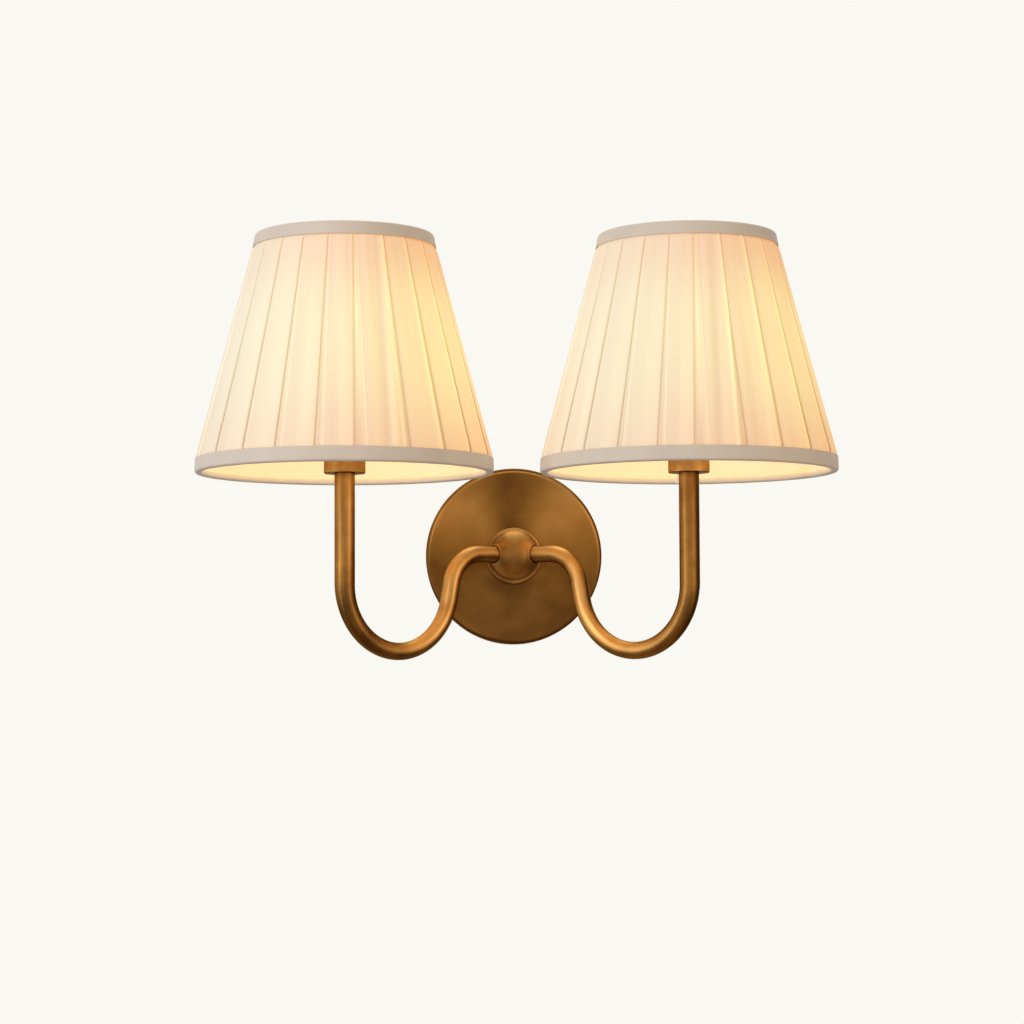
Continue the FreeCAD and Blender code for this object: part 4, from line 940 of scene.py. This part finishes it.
# The cloth's colour is painted darker as shade where tone is low, at dark fold edges and sunk creases.
CLOTH_FOLD_SHADE = (0.420, 0.340, 0.275, 1)
CLOTH_OPEN = (0.525, 0.450, 0.370, 1)
CLOTH_SLUB = (0.60, 0.52, 0.43, 1)
GLOW_WEAK = ((0.395, 0.300, 0.190, 1), (0.555, 0.222, 0.046, 1))
GLOW_STRONG = ((0.415, 0.395, 0.262, 1), (0.665, 0.495, 0.150, 1))
GLOW_BLOCKED = (0.16, 0.03, 0.0, 1)
LINE_SHADE = 0.62


def weave(tree, strip):
    """Threads over and under, as the height of a bump."""
    along, up, _ = axes_of(tree, strip)
    warp = math_node(tree, "SINE", times(tree, along, 2 * math.pi * WARP_PER_METRE))
    weft = math_node(tree, "SINE", times(tree, up, 2 * math.pi * WEFT_PER_METRE))
    return times(tree, warp, weft)


def pleated_cloth(side, sign):
    """Ivory cloth. It reads the strip's UV map, and the tone and line that pleated_cover leaves on points."""
    material, tree = new_material(side + "_pleated_cloth")
    glow = glow_at(tree, own_place(tree), sign)
    strip = add_node(tree, "UVMap", uv_map="strip").outputs[0]
    tone = add_node(tree, "Attribute", attribute_name="tone").outputs["Fac"]
    line = add_node(tree, "Attribute", attribute_name="line").outputs["Fac"]
    slubs = noise_map(tree, scaled(tree, strip, (900.0, 40.0, 1.0)), scale=1.0, detail=3.0)
    drift = noise_map(tree, scaled(tree, strip, (45.0, 9.0, 1.0)), scale=1.0, detail=2.0)
    # Lines are painted shade on the dark fold edges: they darken the cloth's colour and its glow alike.
    shaded = add_node(tree, "Mix", {0: line, 2: 1.0, 3: LINE_SHADE}, data_type="FLOAT").outputs[0]
    base = mixed(tree, ramp(tree, tone, 0.0, 0.8), CLOTH_FOLD_SHADE, CLOTH_OPEN)
    base = mixed(tree, times(tree, slubs, 0.25), base, CLOTH_SLUB)
    base = scaled(tree, base, add_node(tree, "CombineXYZ", {0: shaded, 1: shaded, 2: shaded}).outputs[0])
    near_lamp = times(tree, add_share(tree, 1.0, glow["Lobes"], 0.22), glow["Level"])
    near_lamp = ramp(tree, near_lamp, 0.15, 1.20)
    to_right = ramp(tree, glow["Round"], -0.9, 0.9, kind="LINEAR")
    shine = mixed(tree, near_lamp, mixed(tree, to_right, *GLOW_WEAK), mixed(tree, to_right, *GLOW_STRONG))
    through = add_share(tree, tone, math_node(tree, "SUBTRACT", slubs, 0.5), 0.12)
    through = add_share(tree, through, math_node(tree, "SUBTRACT", drift, 0.5), 0.14)
    finish_material(
        tree,
        {
            "Base Color": base, "Roughness": 0.72, "Sheen Weight": 0.15,
            "Normal": bump(tree, 0.30, 0.0001, add_share(tree, slubs, weave(tree, strip), 0.3)),
            "Emission Color": mixed(tree, through, GLOW_BLOCKED, shine, clamp_factor=False),
            "Emission Strength": shaded,
        },
    )
    return material


for side, sign in SIDES:
    cover = pleated_cover(side, sign)
    thicken(cover, CLOTH_T)
    bpy.ops.object.shade_smooth_by_angle(angle=math.radians(50))
    cover.data.materials.append(pleated_cloth(side, sign))
    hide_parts(side + "_shade_cover")
    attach(cover, side + "_shade")

# Rim bindings: a greige cloth tape glued over both raw edges of the shade and turned in round the rim wire,
# so it rounds softly over the wire and puckers a little on the inside. Its downward faces get painted shade,
# and its turned-in edge has a painted glow, as if lit by the bulb.
TAPE_T = 0.0006
TAPE_STEPS = 264
# Each tape's outside as (distance from the rim's edge, radius), and its radius inside.
LOW_OUTSIDE = (
    (0.0100, 0.09985), (0.0097, 0.09992), (0.0080, 0.09998),
    (0.0055, 0.10008), (0.0030, 0.10018), (0.0018, 0.10020),
)
LOW_INSIDE_R = 0.0953
HIGH_OUTSIDE = (
    (0.0090, 0.06165), (0.0087, 0.06172), (0.0070, 0.06140),
    (0.0045, 0.06090), (0.0024, 0.06045), (0.0014, 0.06025),
)
HIGH_INSIDE_R = 0.0537
# The turn over the rim as (step in radius, distance from the edge), from the outer face and from the inner.
OUTER_TURN = ((-0.00022, 0.00105), (-0.00065, 0.00055), (-0.00130, 0.00033), (-0.00220, 0.00030))
UNDER_WIRE = 0.00045
INNER_TURN = ((0.00120, 0.00034), (0.00035, 0.00075), (0.0, 0.00160), (-0.00010, 0.00280), (0.00010, 0.00400))
PUCKER_ROWS = 3
PUCKER_OUT = 0.00030
PUCKER_UP = 0.0008
WANDER_OUT = 0.00008
WANDER_UP = 0.00010
TAPE_DARK = (0.56, 0.47, 0.385, 1)
TAPE_PALE = (0.72, 0.62, 0.52, 1)
TAPE_UNDER_SHADE = (0.46, 0.37, 0.29, 1)
TAPE_GLOW = (0.30, 0.24, 0.15, 1)


def binding_profile(outside, inside, edge, up):
    """(radius, height) points across the tape: down its outside, square over the rim and up its inside."""
    outer = outside[-1][1]
    points = [(radius, distance) for distance, radius in outside]
    points += [(outer + step, distance) for step, distance in OUTER_TURN]
    points.append(((outer + inside) / 2, UNDER_WIRE))
    points += [(inside + step, distance) for step, distance in INNER_TURN]
    return [(radius, edge + up * distance) for radius, distance in points]


def round_noise(angle, waves, shift):
    """Noise that closes on itself once round the shade."""
    return noise.noise(Vector((math.sin(angle) * waves, math.cos(angle) * waves, shift)))


def binding(name, sign, profile, up):
    """Revolves the tape's profile round the shade by extruding a ring, then puckers its inside edge."""
    centre = Vector((sign * CUP_X, CUP_Y, 0.0))
    start = (centre.x, centre.y, profile[0][1])
    bpy.ops.mesh.primitive_circle_add(
        vertices=TAPE_STEPS, radius=profile[0][0], location=start, fill_type="NOTHING"
    )
    piece = bpy.context.object
    piece.name = name
    only(piece)
    bpy.ops.object.transform_apply(location=True, rotation=True, scale=True)
    bpy.ops.object.mode_set(mode="EDIT")
    bpy.ops.mesh.select_all(action="SELECT")
    for (radius, height), (last_radius, last_height) in zip(profile[1:], profile):
        bpy.ops.mesh.extrude_region_move(TRANSFORM_OT_translate={"value": (0, 0, height - last_height)})
        share = radius / last_radius
        bpy.ops.transform.resize(value=(share, share, 1), center_override=(centre.x, centre.y, height))
    bpy.ops.mesh.select_all(action="SELECT")
    bpy.ops.mesh.normals_make_consistent(inside=False)
    bpy.ops.object.mode_set(mode="OBJECT")
    # turned_in marks the rows turned in over the rim, where the tape gets its painted glow.
    turned = piece.data.attributes.new("turned_in", "FLOAT", "POINT")
    for index, vert in enumerate(piece.data.vertices):
        row = index // TAPE_STEPS
        to_end = len(profile) - 1 - row
        spoke = Vector((vert.co.x - centre.x, vert.co.y - centre.y, 0.0))
        angle = math.atan2(spoke.x, -spoke.y)
        wander = round_noise(angle, 9.0, row * 0.4 + sign)
        pucker = round_noise(angle, 26.0, sign * 5.0) * max(0.0, 1 - to_end / PUCKER_ROWS)
        turned.data[index].value = min(1.0, max(0.0, 1 - (to_end - 1) / PUCKER_ROWS))
        spoke.normalize()
        vert.co += spoke * (WANDER_OUT * wander + PUCKER_OUT * pucker)
        vert.co.z += (PUCKER_UP * pucker + WANDER_UP * wander) * up
    thicken(piece, TAPE_T)
    smooth = piece.modifiers.new("soft", "SUBSURF")
    smooth.levels = smooth.render_levels = 1
    bpy.ops.object.modifier_apply(modifier=smooth.name)
    bpy.ops.object.shade_smooth()
    return piece


tape_cloth, tree = new_material("rim_tape")
place = own_place(tree)
clouds = noise_map(tree, place, scale=45.0, detail=3.0)
fibres = noise_map(tree, place, scale=1400.0, detail=2.0)
tone = mixed(tree, add_share(tree, times(tree, fibres, 0.3), clouds, 0.7), TAPE_DARK, TAPE_PALE)
# Downward faces of the tape get painted shade.
tone = mixed(tree, ramp(tree, facing_axes(tree)[2], -0.2, -0.9), tone, TAPE_UNDER_SHADE)
# The turned-in edge gets a painted glow, as if lit by the bulb.
finish_material(
    tree,
    {
        "Base Color": tone, "Roughness": 0.62, "Sheen Weight": 0.2, "Normal": bump(tree, 0.5, 0.0001, fibres),
        "Emission Color": TAPE_GLOW,
        "Emission Strength": add_node(tree, "Attribute", attribute_name="turned_in").outputs["Fac"],
    },
)
for side, sign in SIDES:
    rims = (
        ("bottom", binding_profile(LOW_OUTSIDE, LOW_INSIDE_R, SHADE_Z, 1), 1, 0.628, 0.0205),
        ("top", binding_profile(HIGH_OUTSIDE, HIGH_INSIDE_R, SHADE_TOP_Z, -1), -1, 0.384, 0.0195),
    )
    for level, profile, up, around, width in rims:
        tape = binding(f"{side}_{level}_binding", sign, profile, up)
        tape.data.materials.append(tape_cloth)
        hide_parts(f"{side}_shade_{level}_tape")
        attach(tape, side + "_shade")
